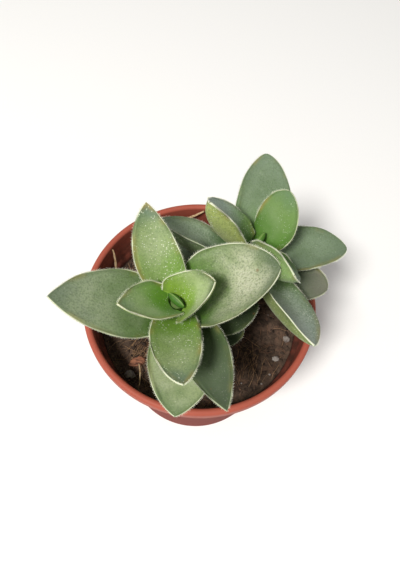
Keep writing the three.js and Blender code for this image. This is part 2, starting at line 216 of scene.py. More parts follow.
def pot_plastic():
    # Moulded polypropylene, coloured through: an even satin skin, faintly clouded by the mould,
    # with painted shade that darkens the wall under the collar, which is also rougher there, and with
    # a dark film of dried soil inside, deepened towards the soil by painted shade.
    material, tree = new_material("moulded_polypropylene")
    place = add_node(tree, "ShaderNodeTexCoord", {}, {}, "Object")
    height = add_node(tree, "ShaderNodeSeparateXYZ", {}, {0: place}, 2)
    inside = add_node(tree, "ShaderNodeAttribute", {"attribute_name": "inside"}, {}, 2)
    cloud = add_node(tree, "ShaderNodeTexNoise", {}, {"Vector": place, "Scale": 60, "Detail": 4})
    even = add_node(tree, "ShaderNodeMix", {"data_type": "RGBA"}, {
        0: cloud, 6: linear("#9C4C3C"), 7: linear("#AE5D4B")}, 2)
    # Painted shade: the outer wall under the collar is darkened towards #74302A.
    shade_under_collar = add_node(tree, "ShaderNodeMapRange", {"interpolation_type": "SMOOTHSTEP"}, {
        "Value": height, "From Min": 0.071, "From Max": 0.064, "To Min": 0, "To Max": 0.8})
    even = add_node(tree, "ShaderNodeMix", {"data_type": "RGBA"}, {
        0: shade_under_collar, 6: even, 7: linear("#74302A")}, 2)
    # The dark inside is partly a real film of dried soil and partly painted shade, deepening from under
    # the lip towards the soil.
    low = add_node(tree, "ShaderNodeMapRange", {"interpolation_type": "SMOOTHSTEP"}, {
        "Value": height, "From Min": 0.0845, "From Max": 0.07, "To Min": 0.25, "To Max": 1})
    grime = add_node(tree, "ShaderNodeTexNoise", {}, {"Vector": place, "Scale": 220, "Detail": 6})
    patchy = add_node(tree, "ShaderNodeMapRange", {}, {
        "Value": grime, "From Min": 0.35, "From Max": 0.6, "To Min": 0.6, "To Max": 1})
    soil_film_and_shade = add_node(tree, "ShaderNodeMath", {"operation": "MULTIPLY"}, {0: inside, 1: low})
    soil_film_and_shade = add_node(tree, "ShaderNodeMath", {"operation": "MULTIPLY"}, {0: soil_film_and_shade, 1: patchy})
    colour = add_node(tree, "ShaderNodeMix", {"data_type": "RGBA"}, {
        0: soil_film_and_shade, 6: even, 7: linear("#4A2A20")}, 2)
    # The rougher finish follows the soil film and the painted shade under the collar.
    marked = add_node(tree, "ShaderNodeMath", {"operation": "MAXIMUM"}, {0: soil_film_and_shade, 1: shade_under_collar})
    rough = add_node(tree, "ShaderNodeMapRange", {}, {
        "Value": marked, "To Min": 0.55, "To Max": 0.95})
    skin = add_node(tree, "ShaderNodeTexNoise", {}, {"Vector": place, "Scale": 900, "Detail": 2})
    bump = add_node(tree, "ShaderNodeBump", {}, {
        "Strength": 0.08, "Distance": 0.0002, "Height": skin})
    close_material(tree, {
        "Base Color": colour, "Roughness": rough, "IOR": 1.49, "Specular IOR Level": 0.2,
        "Normal": bump, "Subsurface Weight": 0.06, "Subsurface Radius": (1, 0.3, 0.15),
        "Subsurface Scale": 0.001})
    return material


pot = turn("nursery_pot", pot_outline(), POT_STEPS)
drill_drain_holes(pot)
select_only(pot)
bpy.ops.object.shade_smooth_by_angle(angle=radians(POT_CREASE))
mark_inside(pot)
pot.data.materials.append(pot_plastic())
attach(pot, "root")
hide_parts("pot")


# The potting mix is peat and composted bark, pressed down by hand to a lumpy top about 19 mm
# under the lip. It is spun like the pot, and its top is then raised and sunk into crumbs.
SOIL_TOP = 67
SOIL_LUMP = 1.1
SOIL_WAVES = (7.3, 6.1, 4.4)
# Clods by width and height, with the flat they are cut off at and the level they start from.
SOIL_CLODS = ((4.2, 0.9), (1.9, 0.55))
CLOD_FLAT = 0.5
CLOD_LEVEL = 0.2
GRIT_WIDTH = 0.9
GRIT_HEIGHT = 0.5
MOUND_REACH = 7
MOUND_HEIGHT = 0.9
SOIL_RINGS = 96
SOIL_STEPS = 288
SIDE_GAP = 0.1
SOIL_EDGE = wall_radius(SOIL_TOP) - WALL - SIDE_GAP
# The side has one ring on its way up, at this share of its height and this far in.
SIDE_RING = 5 / 6
SIDE_DRAFT = 0.25 / 6
TOP_SLACK = 0.5
GAP = 0.35
# Where each stem stands in the soil and ends under its bud; bud is the direction of the bud's
# seam in degrees.
SHOOTS = {
    "tall": {"foot": Vector((-3, -9, SOIL_TOP)), "top": Vector((-8.2, -20.6, 124)), "bud": -40},
    "short": {"foot": Vector((9, 4, SOIL_TOP)), "top": Vector((21.4, 13.3, 113)), "bud": 60},
}


def soil_height(x, y):
    """Height of the soil's top, with its lumps, clods, grit and the low mound round each stem."""
    share = min(1, hypot(x, y) / SOIL_EDGE)
    across, along, slanting = SOIL_WAVES
    wave = sin(x / across + 1) * cos(y / along) + sin((x + y) / slanting)
    height = SOIL_TOP + SOIL_LUMP * wave * (1 - share ** 6)
    for size, depth in SOIL_CLODS:
        near = noise.voronoi(Vector((x / size, y / size, size)))[0]
        height += depth * (min(CLOD_FLAT, near[1] - near[0]) - CLOD_LEVEL)
    height += GRIT_HEIGHT * noise.noise(Vector((x / GRIT_WIDTH, y / GRIT_WIDTH, 3)))
    for shoot in SHOOTS.values():
        gap = hypot(x - shoot["foot"].x, y - shoot["foot"].y)
        height += MOUND_HEIGHT * max(0, 1 - gap / MOUND_REACH) ** 2
    return height


def potting_mix():
    # Damp peat with composted bark: near black in the hollows, dull brown on the crumbs.
    material, tree = new_material("damp_potting_mix")
    place = add_node(tree, "ShaderNodeTexCoord", {}, {}, "Object")
    clump = add_node(tree, "ShaderNodeTexNoise", {}, {
        "Vector": place, "Scale": 260, "Detail": 6, "Roughness": 0.65})
    crumb = add_node(tree, "ShaderNodeTexVoronoi", {"feature": "F1"}, {
        "Vector": place, "Scale": 620}, "Color")
    tone = add_node(tree, "ShaderNodeSeparateXYZ", {}, {0: crumb}, 0)
    dark = add_node(tree, "ShaderNodeMapRange", {}, {
        "Value": clump, "From Min": 0.34, "From Max": 0.66})
    earth = add_node(tree, "ShaderNodeMix", {"data_type": "RGBA"}, {
        0: dark, 6: linear("#2B211B"), 7: linear("#58483C")}, 2)
    reddish = add_node(tree, "ShaderNodeMapRange", {}, {
        "Value": tone, "From Min": 0.6, "From Max": 1, "To Min": 0, "To Max": 0.55})
    colour = add_node(tree, "ShaderNodeMix", {"data_type": "RGBA"}, {
        0: reddish, 6: earth, 7: linear("#6C5344")}, 2)
    grit = add_node(tree, "ShaderNodeTexNoise", {}, {
        "Vector": place, "Scale": 1500, "Detail": 5})
    bump = add_node(tree, "ShaderNodeBump", {}, {
        "Strength": 0.8, "Distance": 0.0006, "Height": grit})
    close_material(tree, {
        "Base Color": colour, "Roughness": 0.95, "Specular IOR Level": 0.2, "Normal": bump})
    return material


def soil_outline():
    """The soil's half section, from the middle of its foot up the side and in over the top."""
    floor = WALL + GAP
    floor_radius = wall_radius(floor) - WALL - BASE_ROUNDING - GAP
    side = [(SOIL_EDGE - SIDE_DRAFT, floor + (SOIL_TOP - floor) * SIDE_RING), (SOIL_EDGE, SOIL_TOP)]
    top = [(SOIL_EDGE * (1 - i / SOIL_RINGS), SOIL_TOP) for i in range(1, SOIL_RINGS + 1)]
    return [(0, floor), (floor_radius, floor), *side, *top]


soil = turn("potting_mix", soil_outline(), SOIL_STEPS)
for vertex in soil.data.vertices:
    if vertex.co.z > (SOIL_TOP - TOP_SLACK) * MM:
        vertex.co.z = soil_height(vertex.co.x / MM, vertex.co.y / MM) * MM
select_only(soil)
bpy.ops.object.shade_smooth()
soil.data.materials.append(potting_mix())
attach(soil, "root")
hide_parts("potting_soil")


# Loose crumbs of peat and bark lie all over the mix. One small rough lump is placed again and
# again, sunk about halfway in, in one piece.
CRUMB_COUNT = 900
CRUMB_RADII = (0.35, 1.5)
CRUMB_WIDTHS = (0.5, 0.9)
CRUMB_HEIGHTS = (0.4, 0.8)
CRUMB_ROUGHNESS = 0.35
CRUMB_DENTS = 1.7
CRUMB_LIFT = 0.25
CRUMB_INSET = 1
CRUMB_DETAIL = 1
CRUMB_SEED = 11


def lump(detail):
    """The points and faces of a round lump of unit radius."""
    bpy.ops.mesh.primitive_ico_sphere_add(subdivisions=detail, radius=1)
    start = bpy.context.object
    points = [vertex.co.copy() for vertex in start.data.vertices]
    faces = [tuple(polygon.vertices) for polygon in start.data.polygons]
    bpy.data.objects.remove(start)
    return points, faces


def scatter_spot(chance, reach):
    """An even random place on the soil, within reach of its middle."""
    radius = reach * chance.random() ** 0.5
    angle = 2 * pi * chance.random()
    return radius * cos(angle), radius * sin(angle)


def crumb_heap():
    """Many rough lumps on the soil, each with its own size, turn and shade."""
    chance = random.Random(CRUMB_SEED)
    shape, shape_faces = lump(CRUMB_DETAIL)
    points, faces, shades = [], [], []
    for _ in range(CRUMB_COUNT):
        x, y = scatter_spot(chance, SOIL_EDGE - CRUMB_INSET)
        radius = CRUMB_RADII[0] + (CRUMB_RADII[1] - CRUMB_RADII[0]) * chance.random() ** 3
        turned = Matrix.Rotation(2 * pi * chance.random(), 3, "Z")
        turned = turned @ Matrix.Rotation(pi * chance.random(), 3, "X")
        squash = Vector((1, chance.uniform(*CRUMB_WIDTHS), chance.uniform(*CRUMB_HEIGHTS)))
        centre = Vector((x, y, soil_height(x, y) + CRUMB_LIFT * radius))
        faces += [tuple(len(points) + i for i in face) for face in shape_faces]
        shade = chance.random()
        for point in shape:
            rough = 1 + CRUMB_ROUGHNESS * noise.noise(point * CRUMB_DENTS + centre)
            points.append(centre + turned @ (point * squash) * radius * rough)
            shades.append(shade)
    piece = new_piece("peat_crumbs", points, [], faces)
    store_values(piece, "shade", shades)
    return piece


def crumb_bark():
    # Bits of peat and rotted bark, from almost black to a dull rusty brown, gritty all over.
    material, tree = new_material("peat_crumbs")
    shade = add_node(tree, "ShaderNodeAttribute", {"attribute_name": "shade"}, {}, 2)
    place = add_node(tree, "ShaderNodeTexCoord", {}, {}, "Object")
    brown = add_node(tree, "ShaderNodeMix", {"data_type": "RGBA"}, {
        0: shade, 6: linear("#2B231E"), 7: linear("#5A493D")}, 2)
    rust = add_node(tree, "ShaderNodeMapRange", {}, {
        "Value": shade, "From Min": 0.88, "From Max": 0.9, "To Min": 0, "To Max": 0.7})
    toned = add_node(tree, "ShaderNodeMix", {"data_type": "RGBA"}, {
        0: rust, 6: brown, 7: linear("#7C5E4C")}, 2)
    grit = add_node(tree, "ShaderNodeTexNoise", {}, {
        "Vector": place, "Scale": 1800, "Detail": 4})
    dark = add_node(tree, "ShaderNodeMapRange", {}, {
        "Value": grit, "From Min": 0.3, "From Max": 0.6, "To Min": 0.6, "To Max": 0})
    colour = add_node(tree, "ShaderNodeMix", {"data_type": "RGBA"}, {
        0: dark, 6: toned, 7: linear("#170F0B")}, 2)
    bump = add_node(tree, "ShaderNodeBump", {}, {
        "Strength": 0.7, "Distance": 0.0004, "Height": grit})
    close_material(tree, {
        "Base Color": colour, "Roughness": 0.93, "Specular IOR Level": 0.2, "Normal": bump})
    return material


crumbs = crumb_heap()
crumbs.data.materials.append(crumb_bark())
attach(crumbs, "root")


# Coir is the stringy husk of a coconut, mixed into the potting soil: thin springy fibres, some
# alone and some in bunches, lying on the mix. Each is a fine tube along a slack curve.
FIBRE_COUNT = 190
FIBRE_RADIUS = 0.1
FIBRE_GIRTHS = (0.7, 1.5)
FIBRE_END = 0.35
FIBRE_LENGTHS = (4, 13)
FIBRE_BEND = 0.9
# A fibre kinks to and fro by this much, this fast, each from a place of its own.
KINK = 0.25
KINK_RATE = 5
KINK_SHIFT = 9
FIBRE_LIFTS = (0.1, 0.9)
FIBRE_CLEARANCE = 0.15
FIBRE_INSET = 0.6
FIBRE_START_INSET = 3
FIBRE_STEPS = 9
FIBRE_SIDES = 4
FIBRE_SEED = 23
# Two directions whose cross product is shorter than this count as parallel.
PARALLEL = 0.01
# The shade of fibres that lie alone and in bunches, how much it varies, and how far the fibres
# of a bunch fan out, in degrees.
LONE_SHADE = 0.45
BUNCH_SHADE = 0.8
SHADE_SPREAD = 0.25
BUNCH_FAN = 16
FIBRE_BUNCHES = (
    {"x": -27, "y": -24, "turn": 60, "spread": 6, "count": 46},
    {"x": -14, "y": -39, "turn": 115, "spread": 4, "count": 14},
    {"x": 24, "y": -26, "turn": 80, "spread": 8, "count": 26},
    {"x": -33, "y": 16, "turn": 75, "spread": 5, "count": 14},
)


def tube(path, radius):
    """The points and faces of a thin closed tube along a path, narrowed at both ends."""
    points, faces = [], []
    for i, centre in enumerate(path):
        ahead = (path[min(i + 1, len(path) - 1)] - path[max(i - 1, 0)]).normalized()
        side = ahead.cross(Vector((0, 0, 1)))
        side = side.normalized() if side.length > PARALLEL else Vector((1, 0, 0))
        up = side.cross(ahead)
        girth = radius * (FIBRE_END if i in (0, len(path) - 1) else 1)
        for j in range(FIBRE_SIDES):
            angle = 2 * pi * j / FIBRE_SIDES
            points.append(centre + girth * (cos(angle) * side + sin(angle) * up))
    for i in range(len(path) - 1):
        for j in range(FIBRE_SIDES):
            low, high = i * FIBRE_SIDES, (i + 1) * FIBRE_SIDES
            after = (j + 1) % FIBRE_SIDES
            faces.append((low + j, low + after, high + after, high + j))
    last = (len(path) - 1) * FIBRE_SIDES
    faces.append(tuple(reversed(range(FIBRE_SIDES))))
    faces.append(tuple(range(last, last + FIBRE_SIDES)))
    return points, faces


def fibre_path(chance, x, y, heading, length):
    """A slack curve over the soil that stays inside the wall."""
    path = []
    bend = chance.uniform(-FIBRE_BEND, FIBRE_BEND)
    lift = chance.uniform(*FIBRE_LIFTS)
    for i in range(FIBRE_STEPS + 1):
        along = i / FIBRE_STEPS
        over = FIBRE_CLEARANCE + lift * 4 * along * (1 - along)
        reach = hypot(x, y)
        if reach > SOIL_EDGE - FIBRE_INSET:
            x, y = (value * (SOIL_EDGE - FIBRE_INSET) / reach for value in (x, y))
        path.append(Vector((x, y, soil_height(x, y) + over)))
        turned = heading + bend * along + KINK * sin(KINK_RATE * along + bend * KINK_SHIFT)
        x += cos(turned) * length / FIBRE_STEPS
        y += sin(turned) * length / FIBRE_STEPS
    return path


def coir():
    # Dry coconut fibre: brown to tan, with darker stains and a faint silky gloss.
    material, tree = new_material("coir_fibre")
    shade = add_node(tree, "ShaderNodeAttribute", {"attribute_name": "shade"}, {}, 2)
    place = add_node(tree, "ShaderNodeTexCoord", {}, {}, "Object")
    colour = add_node(tree, "ShaderNodeMix", {"data_type": "RGBA"}, {
        0: shade, 6: linear("#5A3C2A"), 7: linear("#9A7A5A")}, 2)
    fleck = add_node(tree, "ShaderNodeTexNoise", {}, {"Vector": place, "Scale": 900})
    marked = add_node(tree, "ShaderNodeMapRange", {}, {
        "Value": fleck, "From Min": 0.4, "From Max": 0.7, "To Min": 0, "To Max": 0.5})
    colour = add_node(tree, "ShaderNodeMix", {"data_type": "RGBA"}, {
        0: marked, 6: colour, 7: linear("#3E2417")}, 2)
    close_material(tree, {"Base Color": colour, "Roughness": 0.7})
    return material


chance = random.Random(FIBRE_SEED)
fibre_points, fibre_faces, fibre_shades = [], [], []
starts = [(*scatter_spot(chance, SOIL_EDGE - FIBRE_START_INSET), 2 * pi * chance.random(), LONE_SHADE)
          for _ in range(FIBRE_COUNT)]
for bunch in FIBRE_BUNCHES:
    for _ in range(bunch["count"]):
        starts.append((chance.gauss(bunch["x"], bunch["spread"] / 2),
                       chance.gauss(bunch["y"], bunch["spread"] / 2),
                       radians(chance.gauss(bunch["turn"], BUNCH_FAN)), BUNCH_SHADE))
for x, y, heading, tone in starts:
    path = fibre_path(chance, x, y, heading, chance.uniform(*FIBRE_LENGTHS))
    points, faces = tube(path, FIBRE_RADIUS * chance.uniform(*FIBRE_GIRTHS))
    fibre_faces += [tuple(len(fibre_points) + i for i in face) for face in faces]
    fibre_points += points
    fibre_shades += [min(1, max(0, chance.gauss(tone, SHADE_SPREAD)))] * len(points)
fibres = new_piece("coir_fibres", fibre_points, [], fibre_faces)
store_values(fibres, "shade", fibre_shades)
select_only(fibres)
bpy.ops.object.shade_smooth()
fibres.data.materials.append(coir())
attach(fibres, "root")


# Perlite is volcanic glass popped into a white foam, greyed here by the wet mix. Three larger
# grains show at the edge of the pot, and a few small ones are pressed into the soil.
PERLITE = ((-28.5, -31, 2.2), (41, -9, 1.6), (36.2, -18.6, 1.5))
GRAIN_SHAPE = Vector((1, 0.85, 0.7))
GRAIN_ROUGHNESS = 0.3
GRAIN_LIFT = 0.35
GRAIN_DETAIL = 4
SMALL_GRAINS = 22
SMALL_GRAIN_RADII = (0.4, 0.9)
SMALL_GRAIN_LIFT = 0.2
SMALL_GRAIN_DETAIL = 2
SMALL_GRAIN_INSET = 2
SMALL_GRAIN_SEED = 5
# How close together the large and small dents of a lump lie, and how deep the small ones are.
LARGE_DENTS = 1.6
SMALL_DENTS = 4
SMALL_DENT_DEPTH = 0.5


def rock(name, x, y, lift, size, detail, roughness, seed, turned=0):
    """A rough closed lump of this size in millimetres, lying on the soil."""
    shape, faces = lump(detail)
    spin = Matrix.Rotation(radians(turned), 3, "Z")
    centre = Vector((x, y, soil_height(x, y) + lift))
    points = []
    for point in shape:
        dent = noise.noise(point * LARGE_DENTS + Vector((seed, 0, 0)))
        dent += SMALL_DENT_DEPTH * noise.noise(point * SMALL_DENTS + Vector((0, seed, 0)))
        points.append(centre + spin @ (point * size) * (1 + roughness * dent))
    piece = new_piece(name, points, [], faces)
    select_only(piece)
    bpy.ops.object.shade_smooth()
    return piece


def perlite_foam():
    # Popped volcanic glass: chalky, pitted, off white, with brown dust in the pits.
    material, tree = new_material("perlite_foam")
    place = add_node(tree, "ShaderNodeTexCoord", {}, {}, "Object")
    pits = add_node(tree, "ShaderNodeTexVoronoi", {}, {"Vector": place, "Scale": 1900}, "Distance")
    dust = add_node(tree, "ShaderNodeTexNoise", {}, {"Vector": place, "Scale": 420, "Detail": 5})
    dirty = add_node(tree, "ShaderNodeMapRange", {}, {
        "Value": dust, "From Min": 0.4, "From Max": 0.68, "To Min": 0.1, "To Max": 0.8})
    colour = add_node(tree, "ShaderNodeMix", {"data_type": "RGBA"}, {
        0: dirty, 6: linear("#98928C"), 7: linear("#5C4D45")}, 2)
    bump = add_node(tree, "ShaderNodeBump", {}, {
        "Strength": 0.6, "Distance": 0.0003, "Height": pits})
    close_material(tree, {
        "Base Color": colour, "Roughness": 0.9, "Normal": bump, "Subsurface Weight": 0.1,
        "Subsurface Radius": (1, 1, 1), "Subsurface Scale": 0.0005})
    return material


foam = perlite_foam()
for i, (x, y, radius) in enumerate(PERLITE):
    grain = rock(f"perlite_{i + 1}", x, y, GRAIN_LIFT * radius, GRAIN_SHAPE * radius,
                 GRAIN_DETAIL, GRAIN_ROUGHNESS, i + 2)
    grain.data.materials.append(foam)
    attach(grain, "root")
    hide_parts(f"perlite_grain_{i + 1}")
chance = random.Random(SMALL_GRAIN_SEED)
for i in range(SMALL_GRAINS):
    x, y = scatter_spot(chance, SOIL_EDGE - SMALL_GRAIN_INSET)
    radius = chance.uniform(*SMALL_GRAIN_RADII)
    grain = rock(f"perlite_bit_{i + 1}", x, y, SMALL_GRAIN_LIFT * radius, GRAIN_SHAPE * radius,
                 SMALL_GRAIN_DETAIL, GRAIN_ROUGHNESS, i + 9)
    grain.data.materials.append(foam)
    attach(grain, "root")


# One chip of pine bark lies on the mix at the front left, thin and flaky, broken across.
BARK = {"x": -25.6, "y": -25.2, "long": 7, "wide": 4, "high": 1.6, "turn": 25}
BARK_LIFT = 0.6
BARK_DETAIL = 4
BARK_ROUGHNESS = 0.4
BARK_SEED = 31


def pine_bark():
    # Pine bark: flaking orange-brown plates with darker seams along the grain.
    material, tree = new_material("pine_bark")
    place = add_node(tree, "ShaderNodeTexCoord", {}, {}, "Object")
    laid = add_node(tree, "ShaderNodeMapping", {}, {
        "Vector": place, "Rotation": (0, 0, radians(-BARK["turn"])), "Scale": (1, 4, 2)})
    plates = add_node(tree, "ShaderNodeTexNoise", {}, {
        "Vector": laid, "Scale": 300, "Detail": 6, "Roughness": 0.6})
    seams = add_node(tree, "ShaderNodeMapRange", {}, {
        "Value": plates, "From Min": 0.36, "From Max": 0.62})
    colour = add_node(tree, "ShaderNodeMix", {"data_type": "RGBA"}, {
        0: seams, 6: linear("#4C2A1C"), 7: linear("#99654A")}, 2)
    bump = add_node(tree, "ShaderNodeBump", {}, {
        "Strength": 0.8, "Distance": 0.0005, "Height": plates})
    close_material(tree, {"Base Color": colour, "Roughness": 0.85, "Normal": bump})
    return material


half_chip = Vector((BARK["long"], BARK["wide"], BARK["high"])) / 2
chip = rock("bark_flake", BARK["x"], BARK["y"], BARK["high"] * BARK_LIFT, half_chip,
            BARK_DETAIL, BARK_ROUGHNESS, BARK_SEED, BARK["turn"])
chip.data.materials.append(pine_bark())
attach(chip, "root")
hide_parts("bark_chip")


# Three dry strips, the papery remains of dead leaves: one stands against the left wall, one
# lies along the back wall under the lip and one, the thinnest, on the soil at the front.
SHREDS = (
    {"foot": (-41, 17.6, 69.5), "end": (-41.6, 22, 84.5), "bow": (0.4, 0.4, 0), "wide": 1.5},
    {"foot": (-9.5, 45.2, 79.5), "end": (-1.2, 46.8, 85), "bow": (0, -0.6, 0.4), "wide": 1.6},
    {"foot": (-23.5, -36.5, 70), "end": (-24.7, -27, 71), "bow": (0.6, 0, 1.2), "wide": 0.9},
)
SHRED_STEPS = 18
SHRED_THICKNESS = 0.35
SHRED_TAPER = 0.85
TAPER_POWER = 1.5
SHRED_RIPPLE = 0.2
RIPPLE_TURNS = 21
SHRED_CURL = 0.25
SHRED_CREASE = 50
# The corners of a strip's section, across it and up through its thickness.
SHRED_SECTION = ((-1, 1), (0, 1), (1, 1), (1, -1), (0, -1), (-1, -1))


def dry_strip(name, shred):
    """A thin curled strip, bowed between its ends and narrowed to a torn tip."""
    foot, end, bow = (Vector(shred[key]) for key in ("foot", "end", "bow"))
    ahead = (end - foot).normalized()
    outward = Vector((foot.x, foot.y, 0)).normalized()
    side = outward.cross(ahead).normalized()
    face = ahead.cross(side)
    points, faces = [], []
    for i in range(SHRED_STEPS + 1):
        along = i / SHRED_STEPS
        centre = foot.lerp(end, along) + bow * 4 * along * (1 - along)
        half = shred["wide"] / 2 * (1 - SHRED_TAPER * along ** TAPER_POWER)
        half *= 1 + SHRED_RIPPLE * sin(along * RIPPLE_TURNS)
        curl = SHRED_CURL * shred["wide"]
        thick = SHRED_THICKNESS / 2
        for across, up in SHRED_SECTION:
            rise = curl * across ** 2 + up * thick
            points.append(centre + side * half * across + face * rise)
    corners = len(SHRED_SECTION)
    for i in range(SHRED_STEPS):
        for j in range(corners):
            low, high, after = i * corners, (i + 1) * corners, (j + 1) % corners
            faces.append((low + j, high + j, high + after, low + after))
    faces.append(tuple(range(corners)))
    faces.append(tuple(reversed(range(SHRED_STEPS * corners, (SHRED_STEPS + 1) * corners))))
    piece = new_piece(name, points, [], faces)
    face_outward(piece)
    bpy.ops.object.shade_smooth_by_angle(angle=radians(SHRED_CREASE))
    return piece


def dead_leaf():
    # Dead leaf skin: straw coloured and papery, with thin darker veins along it.
    material, tree = new_material("dead_leaf_skin")
    place = add_node(tree, "ShaderNodeTexCoord", {}, {}, "Object")
    drawn = add_node(tree, "ShaderNodeMapping", {}, {"Vector": place, "Scale": (1, 0.25, 0.25)})
    veins = add_node(tree, "ShaderNodeTexNoise", {}, {
        "Vector": drawn, "Scale": 2400, "Detail": 3})
    streak = add_node(tree, "ShaderNodeMapRange", {}, {
        "Value": veins, "From Min": 0.35, "From Max": 0.65})
    colour = add_node(tree, "ShaderNodeMix", {"data_type": "RGBA"}, {
        0: streak, 6: linear("#8E6E4A"), 7: linear("#CDB48E")}, 2)
    bump = add_node(tree, "ShaderNodeBump", {}, {
        "Strength": 0.4, "Distance": 0.0002, "Height": veins})
    close_material(tree, {
        "Base Color": colour, "Roughness": 0.8, "Normal": bump, "Subsurface Weight": 0.15,
        "Subsurface Radius": (1, 0.7, 0.4), "Subsurface Scale": 0.0005})
    return material


straw = dead_leaf()
for i, shred in enumerate(SHREDS):
    strip = dry_strip(f"dry_strip_{i + 1}", shred)
    strip.data.materials.append(straw)
    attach(strip, "root")
    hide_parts(f"dry_shred_{i + 1}")


# Two stems stand in the soil and lean apart. They are green going to brown, thicker at the
# foot, and ringed where old pairs of leaves have dropped. Each is spun and then leaned over.
STEM_RADIUS = 3
STEM_TIP_RADIUS = 2.3
STEM_DEPTH = 16
STEM_SIDES = 40
STEM_STEP = 0.5
SCAR_SPACING = 5
SCAR_HEIGHT = 0.35
SCAR_WIDTH = 0.9


def stem_axis(shoot):
    """The direction that a stem leans in, from its foot to its top."""
    return (shoot["top"] - shoot["foot"]).normalized()


def stem_outline(length):
    """The stem's side from its foot to its tip, with a soft ring at each scar."""
    outline = [(0, -STEM_DEPTH), (STEM_RADIUS, -STEM_DEPTH)]
    for i in range(ceil(length / STEM_STEP)):
        height = i * STEM_STEP
        taper = STEM_RADIUS + (STEM_TIP_RADIUS - STEM_RADIUS) * height / length
        off = (height + SCAR_SPACING / 2) % SCAR_SPACING - SCAR_SPACING / 2
        scarred = SCAR_SPACING / 2 < height < length - SCAR_SPACING
        ring = SCAR_HEIGHT * max(0, 1 - abs(off) / SCAR_WIDTH) if scarred else 0
        outline.append((taper + ring, height))
    return outline + [(STEM_TIP_RADIUS, length), (0, length)]


def stem_bark():
    # A young succulent stem: leaf green above, drying to grey-brown cork towards the foot.
    material, tree = new_material("corky_stem")
    place = add_node(tree, "ShaderNodeTexCoord", {}, {}, "Object")
    height = add_node(tree, "ShaderNodeSeparateXYZ", {}, {0: place}, 2)
    age = add_node(tree, "ShaderNodeMapRange", {"interpolation_type": "SMOOTHSTEP"}, {
        "Value": height, "From Min": 0.108, "From Max": 0.075})
    patch = add_node(tree, "ShaderNodeTexNoise", {}, {
        "Vector": place, "Scale": 350, "Detail": 5})
    corky = add_node(tree, "ShaderNodeMath", {"operation": "MULTIPLY_ADD"}, {
        0: patch, 1: 0.7, 2: -0.3})
    corky = add_node(tree, "ShaderNodeMath", {"operation": "ADD", "use_clamp": True}, {
        0: corky, 1: age})
    colour = add_node(tree, "ShaderNodeMix", {"data_type": "RGBA"}, {
        0: corky, 6: linear("#4A6A28"), 7: linear("#75604A")}, 2)
    grain = add_node(tree, "ShaderNodeTexNoise", {}, {
        "Vector": place, "Scale": 1400, "Detail": 4})
    fleck = add_node(tree, "ShaderNodeMapRange", {}, {
        "Value": grain, "From Min": 0.5, "From Max": 0.7, "To Min": 0, "To Max": 0.5})
    colour = add_node(tree, "ShaderNodeMix", {"data_type": "RGBA"}, {
        0: fleck, 6: colour, 7: linear("#5A4836")}, 2)
    bump = add_node(tree, "ShaderNodeBump", {}, {
        "Strength": 0.5, "Distance": 0.0003, "Height": grain})
    close_material(tree, {"Base Color": colour, "Roughness": 0.7, "Normal": bump})
    return material


bark_skin = stem_bark()
for name, shoot in SHOOTS.items():
    length = (shoot["top"] - shoot["foot"]).length - GAP
    stem = turn(f"{name}_stalk", stem_outline(length), STEM_SIDES)
    lean = Vector((0, 0, 1)).rotation_difference(stem_axis(shoot)).to_matrix().to_4x4()
    stem.data.transform(Matrix.Translation(shoot["foot"] * MM) @ lean)
    select_only(stem)
    bpy.ops.object.shade_smooth()
    stem.data.materials.append(bark_skin)
    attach(stem, "root")
    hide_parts(f"{name}_stem")


# The leaves grow in crossed pairs: thick, stalkless and pointed, a shallow trough above and
# bulging below, with a thin raised margin. Each starts as a ball whose rings are laid along the
# leaf's midrib, from the heel that clasps the stem to the tip.
MARGIN = 0.4
MARGIN_BLUNTNESS = 8
MARGIN_WAVER = 0.05
MARGIN_CRIMP = 1.2
CRIMP_POWER = 4
# How fast a margin wavers along the leaf and from side to side, how much faster the crimps run
# across it, and how fast all that sets in at the heel and dies away at the tip.
WAVER_ALONG = 3.2
WAVER_ACROSS = 5
CRIMP_RATE = 9
WAVER_START = 6
WAVER_END = 5
TIP_FLATTENING = 0.7
STATION_POWER = 1.4
BULGE_POWER = 0.7
MIDRIB_STEPS = 12
LEAF_RINGS = 60
LEAF_SEGMENTS = 48
STEM_CLEARANCE = 0.7
HEEL_RINGS = 6
HEEL = 1.5
TOP_HEEL = 0.3
HEEL_DEPTH = 0.35
HEEL_SWELL = 0.7
NEAR_ZERO = 1e-4
UNDER_SHARPNESS = 6
